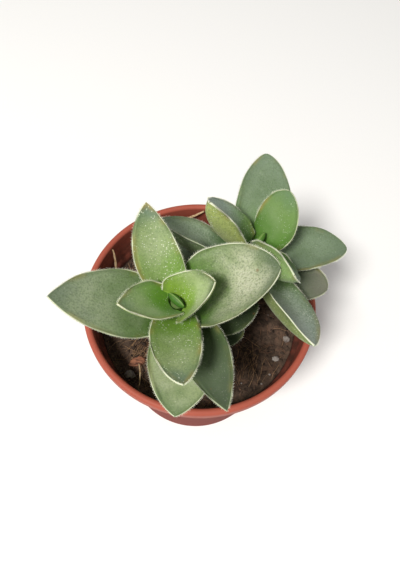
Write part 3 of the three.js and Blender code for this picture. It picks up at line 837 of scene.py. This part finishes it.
# down is the distance along the stem under its top; azimuth, rise, roll, twist (the change of
# roll up to the tip), curl and sweep are degrees; fold is the height of the margins over the
# midrib per half width; neck is the width at the stem and widest the place of the full width, as
# shares; tip is the power of the outline's closing curve, lower for a blunter leaf; skin names
# the kind of skin, of which lit and pale carry painted light and deep, dark and shaded carry
# painted shade.
LEAF_KEYS = (
    "down", "azimuth", "rise", "length", "width", "thick", "roll", "twist", "curl", "fold",
    "sweep", "neck", "widest", "tip", "skin")
LEAF_ROWS = {
    "tall": (
        ( 0.8, 208, 39, 23.5, 16.1, 2.8,   8,  -7,   6,  0.58,  -2, 0.83, 0.29, 0.86, "young"),
        ( 0.5,  10, 58, 17.9, 15.8, 2.8,  21,  -6,  -1,  1.27,  -7, 0.78, 0.32, 0.62, "cupped"),
        ( 5.2, 127, 35, 35.5,   17, 4.2,   0,   0,   0,   0.4, -27, 0.72,  0.4, 0.85, "fresh"),
        ( 4.8, 268, 28, 34.6, 17.9, 4.1,  -9,   0,   2,  0.31,  22, 0.72, 0.37, 0.66, "fresh"),
        (  10, 191, 28, 45.3,   26, 4.6,  -2,   0,   5,  0.17,   4, 0.68,  0.4,  0.9, "sage"),
        (12.4,  20, 40, 38.6, 30.3, 3.8,  -1,   0,  -5,  0.68, -15, 0.57,  0.4, 0.62, "frosted"),
        (15.7, 299, 12, 38.9, 18.7, 3.9,  -3,   0,  -3,  0.49,  -7, 0.65, 0.36, 0.94, "deep"),
        (  21, 273, 10,   38, 24.5, 4.4,  -5,   0,   4,   0.3,  -5, 0.62, 0.42, 0.75, "pale"),
        (25.5,  14, -1,   27, 21.5,   4,   4,   0,   0,  0.29,   4,  0.6,  0.4,  0.8, "dark"),
        (16.5, 112, 12,   22,   18,   4,   0,   0,   0,   0.3, -10, 0.62, 0.42, 0.85, "deep"),
        (  26, 176,  4,   25,   19,   4,   0,   0,  -5,  0.25,   6, 0.62, 0.42, 0.85, "deep"),
        (  31, 350, -2, 20.5, 18.5, 3.8,   4,   0,   0,  0.25,   2,  0.6, 0.43, 0.75, "dark"),
    ),
    "short": (
        ( 2.4, 169, 62, 34.2, 18.3, 7.5,   5,  19,  -6,  0.38,  34, 0.63, 0.44, 0.68, "lit"),
        ( 1.3, 295, 40, 36.3, 18.3, 5.4, -33, -33,  10,  0.44, -13,  0.6, 0.46, 0.78, "folded"),
        ( 5.8,  47, 54, 27.3, 18.7,   4,  -9,   0,  10, -0.26,  15, 0.63, 0.42, 0.62, "smooth"),
        (10.9,  73, 24, 43.7, 23.6, 3.9,   5,   0,  -5,  0.28,  23, 0.64, 0.42, 0.64, "cool"),
        (  10, 299, 21, 49.5, 23.6,   5, -38,  -3,   6,  0.51,  -8, 0.57, 0.51, 0.85, "keeled"),
        (16.8,  25, 12, 42.6, 21.2, 3.7,   0,   0, -16,  0.47, -22, 0.63, 0.54, 0.66, "even"),
        (  16, 168, 35,   41,   20, 5.2,  30,   0,   5,   0.7,  14,  0.6, 0.45, 0.82, "shaded"),
        (23.5,   1, 11, 34.9, 23.7, 4.2,  -6,   0,   2,  0.34, -24, 0.63, 0.49, 0.55, "dusky"),
        (  24, 150,  6,   30,   18,   4,   0,   0,  -4,   0.3,   0,  0.6, 0.42, 0.85, "deep"),
    ),
}
LEAVES = {head: [dict(zip(LEAF_KEYS, row)) for row in rows] for head, rows in LEAF_ROWS.items()}


def outline(leaf, along):
    """Half width of a leaf along its length, from 0 at the stem to 1 at the tip."""
    if along < leaf["widest"]:
        return leaf["neck"] + (1 - leaf["neck"]) * sin(pi / 2 * along / leaf["widest"])
    left = (along - leaf["widest"]) / (1 - leaf["widest"])
    return max(0, 1 - left ** 2) ** leaf["tip"]


def leaf_frame(leaf, along):
    """The directions ahead, to the side and up at a place on the midrib."""
    rise = radians(leaf["rise"] + leaf["curl"] * along)
    turned = radians(leaf["sweep"] * along)
    ahead = Vector((cos(rise) * cos(turned), cos(rise) * sin(turned), sin(rise)))
    roll = radians(leaf["roll"] + leaf["twist"] * along)
    side = Quaternion(ahead, roll) @ Vector((-sin(turned), cos(turned), 0))
    return ahead, side, ahead.cross(side)


def midrib(leaf, stations):
    """Points of the midrib at these places, from its foot at the stem."""
    point, points = Vector((0, 0, 0)), []
    for i, along in enumerate(stations):
        points.append(point.copy())
        after = stations[min(i + 1, len(stations) - 1)]
        for step in range(MIDRIB_STEPS):
            middle = along + (after - along) * (step + 0.5) / MIDRIB_STEPS
            point += leaf_frame(leaf, middle)[0] * leaf["length"] * (after - along) / MIDRIB_STEPS
    return points


def in_top_pair(leaf):
    """Whether a leaf is one of the two that grow from the tip of their stem."""
    return leaf["down"] < SCAR_SPACING / 2


def leaf_place(shoot, leaf):
    """The turn and the foot of a leaf on its stem."""
    reach = (STEM_TIP_RADIUS if in_top_pair(leaf) else STEM_RADIUS + SCAR_HEIGHT) + STEM_CLEARANCE
    azimuth = radians(leaf["azimuth"])
    foot = shoot["top"] - stem_axis(shoot) * leaf["down"]
    foot = foot + Vector((reach * cos(azimuth), reach * sin(azimuth), 0))
    return Matrix.Rotation(azimuth, 3, "Z"), foot


def waver(leaf, along, side, depth):
    """A slight unevenness of a margin, the same wherever it is asked for."""
    seed = Vector((leaf["azimuth"], along * WAVER_ALONG, side * WAVER_ACROSS + leaf["length"]))
    fade = (min(1, WAVER_START * along), min(1, WAVER_END * (1 - along)))
    return depth * noise.noise(seed) * fade[0] * fade[1]


def skin_point(leaf, along, centre, across, up):
    """A point of a leaf's skin: across is -1 to 1, and up is above 0 on the upper face."""
    _, side, over = leaf_frame(leaf, along)
    share = outline(leaf, along)
    hand = (across > 0) - (across < 0)
    half = leaf["width"] / 2 * share * (1 + waver(leaf, along, hand, MARGIN_WAVER))
    fold = leaf["fold"] * (1 - TIP_FLATTENING * along) * half
    edge = MARGIN * (1 - across ** MARGIN_BLUNTNESS) ** 0.5
    if up > 0:
        depth = -edge
    else:
        bulge = max(2 * MARGIN, leaf["thick"] * share ** BULGE_POWER)
        depth = edge + (bulge - 2 * MARGIN) * (1 - across ** 2)
    crimp = waver(leaf, along, CRIMP_RATE * across, MARGIN_CRIMP) * across ** CRIMP_POWER
    return centre + side * half * across + over * (fold * across ** 2 - depth + crimp)


def leaf_body(name, shoot, leaf):
    """One leaf, with how far along, how deep under and how far from its margin each point is."""
    bpy.ops.mesh.primitive_uv_sphere_add(segments=LEAF_SEGMENTS, ring_count=LEAF_RINGS, radius=1)
    piece = bpy.context.object
    piece.name = piece.data.name = name
    blade_rings = LEAF_RINGS - HEEL_RINGS
    stations = [1 - (1 - i / blade_rings) ** STATION_POWER for i in range(blade_rings + 1)]
    centres = midrib(leaf, stations)
    spin, foot = leaf_place(shoot, leaf)
    heel = HEEL * (TOP_HEEL if in_top_pair(leaf) else 1)
    values = {"along": [], "edge": [], "under": []}
    for vertex in piece.data.vertices:
        ring = round(acos(max(-1, min(1, vertex.co.z))) / pi * LEAF_RINGS)
        round_angle = atan2(vertex.co.y, vertex.co.x)
        pole = hypot(vertex.co.x, vertex.co.y) < NEAR_ZERO
        across = 0 if pole else cos(round_angle)
        up = sin(round_angle) if abs(sin(round_angle)) > NEAR_ZERO else 0
        if ring < HEEL_RINGS:
            swell = sin(pi / 2 * ring / HEEL_RINGS)
            start = skin_point(leaf, 0, centres[0], across, up)
            middle = centres[0] - leaf_frame(leaf, 0)[2] * leaf["thick"] * HEEL_DEPTH
            back = heel * cos(pi / 2 * ring / HEEL_RINGS)
            point = middle + (start - middle) * swell ** HEEL_SWELL - leaf_frame(leaf, 0)[0] * back
            along, edge = 0, 2 * HEEL
        else:
            along, centre = stations[ring - HEEL_RINGS], centres[ring - HEEL_RINGS]
            point = skin_point(leaf, along, centre, across, up)
            edge = (point - skin_point(leaf, along, centre, 1 if across > 0 else -1, 1)).length
        vertex.co = (foot + spin @ point) * MM
        values["along"].append(along)
        values["edge"].append(edge)
        values["under"].append(0.5 - 0.5 * max(-1, min(1, UNDER_SHARPNESS * up)))
    for key, numbers in values.items():
        store_values(piece, key, numbers)
    select_only(piece)
    bpy.ops.object.transform_apply(location=True, rotation=True, scale=True)
    face_outward(piece)
    bpy.ops.object.shade_smooth()
    return piece


# Six colours of each kind of skin, and how strongly it is bloomed, stippled, specked and
# flushed, as shares. Some kinds are lit and shaded copies of the leaf colours: lit and pale
# carry painted light, and deep, dark and shaded carry painted shade.
SKIN_KEYS = (
    "blade", "heel", "tip", "under", "bloom", "margin", "bloomed", "mottled", "specked",
    "flushed")
SKIN_ROWS = {
    "sage":    ("#869673", "#486A22", "#76846E", "#8A9A58", "#B4BD9F", "#D2D5BA",  0.4,  0.7, 0.15,  0.3),
    "cool":    ("#6C7F62", "#5C7E40", "#73866C", "#788A56", "#96A68C", "#BEC6AE",  0.4, 0.45, 0.15, 0.35),
    "even":    ("#64765A", "#82967A", "#6C7E66", "#788A56", "#8EA086", "#BEC6AE",  0.4,  0.5,  0.2, 0.35),
    "frosted": ("#86946A", "#52762A", "#5A6A50", "#8E9E5C", "#C2C5AA", "#DCDFC8", 0.85, 0.85,  0.2, 0.25),
    "fresh":   ("#869A62", "#6A9030", "#50685C", "#8DA05A", "#AEBA94", "#DADEC2",  0.4,  0.5,  0.9, 0.55),
    "young":   ("#84A260", "#5C8C24", "#6A8660", "#94AE52", "#B6C29E", "#D8DCBC",  0.5,  0.4,  0.6, 0.35),
    "cupped":  ("#A0B27C", "#7EA03A", "#3E5634", "#94AE52", "#C0CAA6", "#DADEC2",  0.6,  0.4,  0.7,  0.3),
    "smooth":  ("#70904E", "#4E7A28", "#6E8A62", "#7A9A48", "#96AA80", "#CCD2B0", 0.35,  0.2,  0.3,  0.6),
    # lit: painted light, a brighter copy for leaves that face the lamp, most of all on the underside.
    "lit":     ("#90A494", "#6E8E4C", "#94A89E", "#9EAA52", "#BCC8BC", "#D6D9C2", 0.55,  0.7,  0.9,  0.3),
    "keeled":  ("#7C8C78", "#62823E", "#8A9A90", "#7C8A44", "#AEBAAC", "#D6D9C2",  0.5,  0.8,  0.9,  0.3),
    "folded":  ("#6E8468", "#557A34", "#7C9084", "#7E9A56", "#A2B298", "#CED3B8",  0.4,  0.5,  0.5,  0.3),
    "dusky":   ("#6A745E", "#5E704A", "#737365", "#7C8A60", "#8C9484", "#B4B4A0",  0.3,  0.3,  0.1,  0.3),
    # deep and dark: painted shade, darker copies for leaves that lie under others.
    "deep":    ("#4E5C44", "#33461E", "#444F3E", "#4C5C34", "#707E66", "#AEB698",  0.3,  0.5, 0.15,  0.3),
    "dark":    ("#323E28", "#2A3A18", "#38442E", "#3C4A2A", "#505E46", "#8E967A",  0.3,  0.3,  0.1,  0.2),
    # shaded: a light upper face with painted shade on the heel and underside.
    "shaded":  ("#90A386", "#3A5826", "#8A9E84", "#56683E", "#B0BEAC", "#C6CCB4",  0.4, 0.75, 0.45,  0.2),
    # pale: painted light, a sunlit copy of the leaf colours.
    "pale":    ("#98A67A", "#7A9450", "#6A8056", "#93A266", "#C6CCB0", "#D2D7BC",  0.6,  0.4,  0.3, 0.15),
}


def leaf_skin(name, tones):
    # Living leaf skin: waxy and slightly velvety, greener and darker towards the heel, the darkening
    # partly painted shade where the leaves crowd the stem, greyed by a pale bloom and stippled dark,
    # with white specks where fine hairs grow and a few brown scabs. The margin is a thin cream line,
    # flushed ochre in places just inside it, with a narrow band of painted shade along its inside.
    material, tree = new_material(name)
    place = add_node(tree, "ShaderNodeTexCoord", {}, {}, "Object")
    along, edge, under = (
        add_node(tree, "ShaderNodeAttribute", {"attribute_name": key}, {}, 2)
        for key in ("along", "edge", "under"))
    clouds, mist, stipple, blotches, patches = (
        add_node(tree, "ShaderNodeTexNoise", {}, {"Vector": place, "Scale": scale, "Detail": detail})
        for scale, detail in ((110, 3), (90, 4), (1500, 3), (90, 2), (140, 2)))
    drift = add_node(tree, "ShaderNodeMath", {"operation": "MULTIPLY_ADD"}, {
        0: clouds, 1: 0.5, 2: -0.25})
    reach = add_node(tree, "ShaderNodeMath", {"operation": "ADD"}, {0: along, 1: drift})
    # The mask that runs from 2.2 mm to 0.5 mm off the margin lays a band of painted shade, #55663E, just
    # inside it.
    past_heel, at_tip, clear_heel, veil, inward, margin_shade_band, flushed, rim = (
        add_node(tree, "ShaderNodeMapRange", {"interpolation_type": "SMOOTHSTEP"}, {
            "Value": value, "From Min": start, "From Max": end, "To Min": least, "To Max": most})
        for value, start, end, least, most in (
            (reach, 0.08, 0.72, 0, 1), (reach, 0.62, 1.05, 0, 1), (reach, 0.1, 0.55, 0, 1),
            (mist, 0.3, 0.65, 0, tones["bloomed"]), (edge, 0.5, 7, 0.25, 1),
            (edge, 2.2, 0.5, 0, 0.35), (edge, 2.8, 0.3, 0, tones["flushed"]),
            (edge, 0.48, 0.22, 0, 0.9)))
    spots = add_node(tree, "ShaderNodeTexVoronoi", {"feature": "F1"}, {
        "Vector": place, "Scale": 75}, "Distance")
    bare_under, bare_tip, dark, flush_patch, gathered, scab = (
        add_node(tree, "ShaderNodeMapRange", {}, {
            "Value": value, "From Min": start, "From Max": end, "To Min": least, "To Max": most})
        for value, start, end, least, most in (
            (under, 0, 1, 1, 0.2), (at_tip, 0, 1, 1, 0.45),
            (stipple, 0.45, 0.7, 0, tones["mottled"] * 0.7), (blotches, 0.5, 0.66, 0, 1),
            (patches, 0.38, 0.62, 0.14, 0.37), (spots, 0.06, 0.03, 0, 0.55)))
    bloom = veil
    for mask in (inward, clear_heel, bare_under, bare_tip):
        bloom = add_node(tree, "ShaderNodeMath", {"operation": "MULTIPLY"}, {0: bloom, 1: mask})
    cells = add_node(tree, "ShaderNodeTexVoronoi", {"feature": "F1"}, {
        "Vector": place, "Scale": 1650}, None)
    chosen = add_node(tree, "ShaderNodeSeparateXYZ", {}, {0: cells.outputs["Color"]}, 0)
    below, flush, size = (
        add_node(tree, "ShaderNodeMath", {"operation": "MULTIPLY"}, {0: value, 1: by})
        for value, by in ((under, 0.85), (flushed, flush_patch), (gathered, chosen)))
    near = add_node(tree, "ShaderNodeMath", {"operation": "LESS_THAN"}, {
        0: cells.outputs["Distance"], 1: size})
    specks = add_node(tree, "ShaderNodeMath", {"operation": "MULTIPLY"}, {
        0: near, 1: tones["specked"]})
    colour = linear(tones["heel"])
    # The heel colour is partly the leaf's own greener base and partly painted shade near the stem.
    for cover, code in (
            (past_heel, tones["blade"]), (at_tip, tones["tip"]), (below, tones["under"]),
            (bloom, tones["bloom"]), (dark, "#465A36"), (margin_shade_band, "#55663E"),
            (flush, "#A8924A"), (specks, "#D5DCC4"), (scab, "#7A5A32"), (rim, tones["margin"])):
        colour = add_node(tree, "ShaderNodeMix", {"data_type": "RGBA"}, {
            0: cover, 6: colour, 7: linear(code)}, 2)
    papillae = add_node(tree, "ShaderNodeMath", {"operation": "ADD"}, {0: stipple, 1: near})
    bump = add_node(tree, "ShaderNodeBump", {}, {
        "Strength": 0.22, "Distance": 0.0003, "Height": papillae})
    close_material(tree, {
        "Base Color": colour, "Roughness": 0.5, "IOR": 1.42, "Specular IOR Level": 0.3,
        "Normal": bump, "Subsurface Weight": 0.1, "Subsurface Radius": (0.6, 1, 0.25),
        "Subsurface Scale": 0.001, "Sheen Weight": 0.08, "Sheen Roughness": 0.45})
    return material


# The skins lit and pale are painted light; deep, dark and shaded are painted shade.
leaf_skins = {
    name: leaf_skin(f"leaf_skin_{name}", dict(zip(SKIN_KEYS, row)))
    for name, row in SKIN_ROWS.items()}
for head, leaves in LEAVES.items():
    for i, leaf in enumerate(leaves):
        blade = leaf_body(f"{head}_blade_{i + 1:02d}", SHOOTS[head], leaf)
        blade.data.materials.append(leaf_skins[leaf["skin"]])
        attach(blade, "root")
        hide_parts(f"{head}_leaf_{i + 1:02d}")


# The youngest pair at each tip is still closed, two little leaves pressed together along a
# seam. It is a ball drawn out along the seam and pinched in on it.
BUD_TAPER = 0.4
BUD_SIZE = {"long": 8, "across": 2.8, "high": 4}
BUD_PINCH = 0.16
PINCH_REACH = 0.5
PINCH_SHRINKAGE = 0.6
# How far down the seam runs, and how fast it fades below that.
SEAM_DEPTH = 0.6
SEAM_FADE = 3
BUD_SEGMENTS = 64
BUD_RINGS = 40


def closed_bud(name, shoot):
    """One closed pair on a stem, with how far each point is from the seam."""
    bpy.ops.mesh.primitive_uv_sphere_add(segments=BUD_SEGMENTS, ring_count=BUD_RINGS, radius=0.5)
    piece = bpy.context.object
    piece.name = piece.data.name = name
    centre = shoot["top"] + stem_axis(shoot) * (BUD_SIZE["high"] / 2 + GAP)
    spin = Matrix.Rotation(radians(shoot["bud"]), 3, "Z")
    seam = []
    for vertex in piece.data.vertices:
        x, y, z = vertex.co
        y *= 1 - BUD_TAPER * (2 * x) ** 2
        gap = abs(y) * BUD_SIZE["across"]
        upper = max(0, min(1, 2 * z + SEAM_DEPTH))
        pinch = BUD_PINCH * upper * max(0, 1 - gap / PINCH_REACH) ** 2
        point = Vector((x * BUD_SIZE["long"], y * BUD_SIZE["across"], z * BUD_SIZE["high"]))
        vertex.co = (centre + spin @ (point * (1 - pinch * PINCH_SHRINKAGE))) * MM
        seam.append(gap + SEAM_FADE * (1 - upper))
    store_values(piece, "seam", seam)
    select_only(piece)
    bpy.ops.object.transform_apply(location=True, rotation=True, scale=True)
    bpy.ops.object.shade_smooth()
    return piece


def bud_skin(name, shade, light):
    # The skin of unopened leaves: tender green, paler and hairy along the seam, with a thin line of
    # painted shade in the seam itself.
    material, tree = new_material(name)
    place = add_node(tree, "ShaderNodeTexCoord", {}, {}, "Object")
    seam = add_node(tree, "ShaderNodeAttribute", {"attribute_name": "seam"}, {}, 2)
    clouds = add_node(tree, "ShaderNodeTexNoise", {}, {"Vector": place, "Scale": 400, "Detail": 4})
    colour = add_node(tree, "ShaderNodeMix", {"data_type": "RGBA"}, {
        0: clouds, 6: linear(shade), 7: linear(light)}, 2)
    lips = add_node(tree, "ShaderNodeMapRange", {"interpolation_type": "SMOOTHSTEP"}, {
        "Value": seam, "From Min": 0.35, "From Max": 0.1, "To Min": 0, "To Max": 0.7})
    colour = add_node(tree, "ShaderNodeMix", {"data_type": "RGBA"}, {
        0: lips, 6: colour, 7: linear("#93AC66")}, 2)
    # Painted shade: a thin dark line where the two leaves meet in the seam.
    seam_shade_line = add_node(tree, "ShaderNodeMath", {"operation": "LESS_THAN"}, {0: seam, 1: 0.04})
    colour = add_node(tree, "ShaderNodeMix", {"data_type": "RGBA"}, {
        0: seam_shade_line, 6: colour, 7: linear("#2E4A1E")}, 2)
    grain = add_node(tree, "ShaderNodeTexNoise", {}, {"Vector": place, "Scale": 1700})
    bump = add_node(tree, "ShaderNodeBump", {}, {
        "Strength": 0.2, "Distance": 0.0002, "Height": grain})
    close_material(tree, {
        "Base Color": colour, "Roughness": 0.5, "IOR": 1.42, "Normal": bump,
        "Subsurface Weight": 0.15, "Subsurface Radius": (0.6, 1, 0.25), "Subsurface Scale": 0.0012})
    return material


bud_skins = {
    "tall": bud_skin("dark_bud_skin", "#38601E", "#4E7A30"),
    "short": bud_skin("light_bud_skin", "#4A7226", "#5C8636"),
}
for name, shoot in SHOOTS.items():
    bud = closed_bud(f"{name}_closed_pair", shoot)
    bud.data.materials.append(bud_skins[name])
    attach(bud, "root")
    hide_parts(f"{name}_bud")


# Short white hairs stand out all along the margins of the leaves, which gives them their soft
# pale edge. Each is a bent three-sided spike of seven faces; those of one head are one piece.
HAIR_SPACING = 0.3
HAIR_LENGTH = (0.35, 0.85)
HAIR_RADIUS = 0.045
# How far the middle and the end of a hair are out from its root and up over the leaf, as shares
# of its length, and how thin it is in the middle.
HAIR_MIDDLE = (0.55, 0.08)
HAIR_END = (0.95, 0.3)
HAIR_WAIST = 0.7
HAIR_LEANS = (-0.1, 0.5)
HAIR_SPREAD = 0.5
HAIR_SEED = 41
SLOPE_STEP = 0.03
STEEP = 0.6
END_GAP = 0.001


def hair(root, out, lift, length, points, faces, tips):
    """Adds one spike that leaves its root in the direction out and bends up towards lift."""
    first = len(points)
    middle = root + out * length * HAIR_MIDDLE[0] + lift * length * HAIR_MIDDLE[1]
    end = root + out * length * HAIR_END[0] + lift * length * HAIR_END[1]
    side = out.cross(lift)
    side = side.normalized() if side.length > PARALLEL else out.orthogonal().normalized()
    over = side.cross(out).normalized()
    for centre, girth, share in ((root, 1, 0), (middle, HAIR_WAIST, HAIR_MIDDLE[0])):
        for j in range(3):
            angle = 2 * pi * j / 3
            spoke = side * cos(angle) + over * sin(angle)
            points.append(centre + spoke * HAIR_RADIUS * girth)
            tips.append(share)
    points.append(end)
    tips.append(1)
    for j in range(3):
        after = (j + 1) % 3
        faces.append((first + j, first + after, first + 3 + after, first + 3 + j))
        faces.append((first + 3 + j, first + 3 + after, first + 6))
    faces.append((first + 2, first + 1, first))


def margin_hairs(name, shoot, leaves):
    """The hairs along both margins of every leaf of a head, doubled where the margin is steep."""
    chance = random.Random(HAIR_SEED)
    points, faces, tips = [], [], []
    for leaf in leaves:
        count = round(leaf["length"] / HAIR_SPACING)
        stations = [(i + 0.5) / count for i in range(count)]
        centres = midrib(leaf, stations)
        spin, foot = leaf_place(shoot, leaf)
        foot = foot + spin @ leaf_frame(leaf, 0)[0] * leaf["length"] * stations[0]
        for along, centre in zip(stations, centres):
            ahead, side, over = leaf_frame(leaf, along)
            slope = (outline(leaf, along) - outline(leaf, min(1, along + SLOPE_STEP))) / SLOPE_STEP
            slope *= leaf["width"] / 2 / leaf["length"]
            for hand in (-1, 1):
                for _ in range(1 + (slope > STEEP)):
                    shift = chance.uniform(-0.5, 0.5) / count
                    place = max(END_GAP, min(1 - END_GAP, along + shift))
                    root = skin_point(leaf, place, centre + ahead * shift * leaf["length"], hand, 1)
                    out = side * hand + ahead * (slope + chance.uniform(*HAIR_LEANS))
                    out = (out + over * chance.uniform(-HAIR_SPREAD, HAIR_SPREAD)).normalized()
                    hair(foot + spin @ root, spin @ out, spin @ over, chance.uniform(*HAIR_LENGTH),
                         points, faces, tips)
    piece = new_piece(name, points, [], faces)
    store_values(piece, "tip", tips)
    return piece


def white_hair():
    # Leaf hairs: clear cells full of air, so white, with some of the leaf's green at the root.
    material, tree = new_material("leaf_hairs")
    tip = add_node(tree, "ShaderNodeAttribute", {"attribute_name": "tip"}, {}, 2)
    colour = add_node(tree, "ShaderNodeMix", {"data_type": "RGBA"}, {
        0: tip, 6: linear("#C9D1A8"), 7: linear("#F1F1E6")}, 2)
    close_material(tree, {
        "Base Color": colour, "Roughness": 0.45, "Subsurface Weight": 0.3,
        "Subsurface Radius": (1, 1, 1), "Subsurface Scale": 0.0003})
    return material


down = white_hair()
for head, leaves in LEAVES.items():
    fringe = margin_hairs(f"{head}_margin_hairs", SHOOTS[head], leaves)
    fringe.data.materials.append(down)
    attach(fringe, "root")


# The studio isn't a part of the object: a flat sheet of pale card to stand on, one lamp high at
# the front left, and a bright room all round.
FLOOR_SIZE = 6
LAMP_FROM = Vector((-0.30, -0.44, 0.85)).normalized()
LAMP_DISTANCE = 1.4
LAMP_AIM = Vector((0, 0, 0.1))


def pale_card():
    # Matt paper board: almost white, with a grain too fine to see.
    material, tree = new_material("pale_card")
    place = add_node(tree, "ShaderNodeTexCoord", {}, {}, "Object")
    grain = add_node(tree, "ShaderNodeTexNoise", {}, {"Vector": place, "Scale": 800})
    colour = add_node(tree, "ShaderNodeMix", {"data_type": "RGBA"}, {
        0: grain, 6: linear("#F8F8F7"), 7: linear("#FCFCFB")}, 2)
    close_material(tree, {"Base Color": colour, "Roughness": 0.9})
    return material


bpy.ops.mesh.primitive_plane_add(size=FLOOR_SIZE, location=(0, 0, 0))
floor = bpy.context.object
floor.name = "studio_floor"
floor.data.materials.append(pale_card())

bpy.ops.object.light_add(type="AREA", location=LAMP_FROM * LAMP_DISTANCE + LAMP_AIM)
lamp = bpy.context.object
lamp.name = "key_lamp"
lamp.rotation_mode = "QUATERNION"
lamp.rotation_quaternion = LAMP_FROM.to_track_quat("Z", "Y")
lamp.data.shape = "DISK"
lamp.data.size = 0.3
lamp.data.energy = 22
lamp.data.color = (1, 0.975, 0.94)

room = bpy.data.worlds.new("bright_room")
room.use_nodes = True
room.node_tree.nodes["Background"].inputs["Color"].default_value = linear("#F4F3F1")
room.node_tree.nodes["Background"].inputs["Strength"].default_value = 0.38
bpy.context.scene.world = room


# The camera looks down on the rim from the front at 63 degrees, held a little askew, from close
# above the leaves, so the nearer head looks larger.
VIEW_AIM = Vector((-0.564, 6.371, 86))
VIEW_DISTANCE = 221.74
VIEW_ELEVATION = radians(62.765)
VIEW_TILT = radians(-4.255)
SENSOR_WIDTH = 36
FOCAL_PIXELS = 500
IMAGE_HEIGHT = 570

back = Vector((0, -cos(VIEW_ELEVATION), sin(VIEW_ELEVATION)))
level = Vector((1, 0, 0))
upright = back.cross(level)
right = level * cos(VIEW_TILT) - upright * sin(VIEW_TILT)
above = upright * cos(VIEW_TILT) + level * sin(VIEW_TILT)
bpy.ops.object.camera_add()
camera = bpy.context.object
camera.matrix_world = Matrix((right, above, back)).transposed().to_4x4()
camera.location = (VIEW_AIM + back * VIEW_DISTANCE) * MM
camera.data.sensor_width = SENSOR_WIDTH
camera.data.lens = FOCAL_PIXELS / IMAGE_HEIGHT * SENSOR_WIDTH
camera.data.clip_start = 0.01
bpy.context.scene.camera = camera
bpy.context.scene.view_settings.view_transform = "Standard"
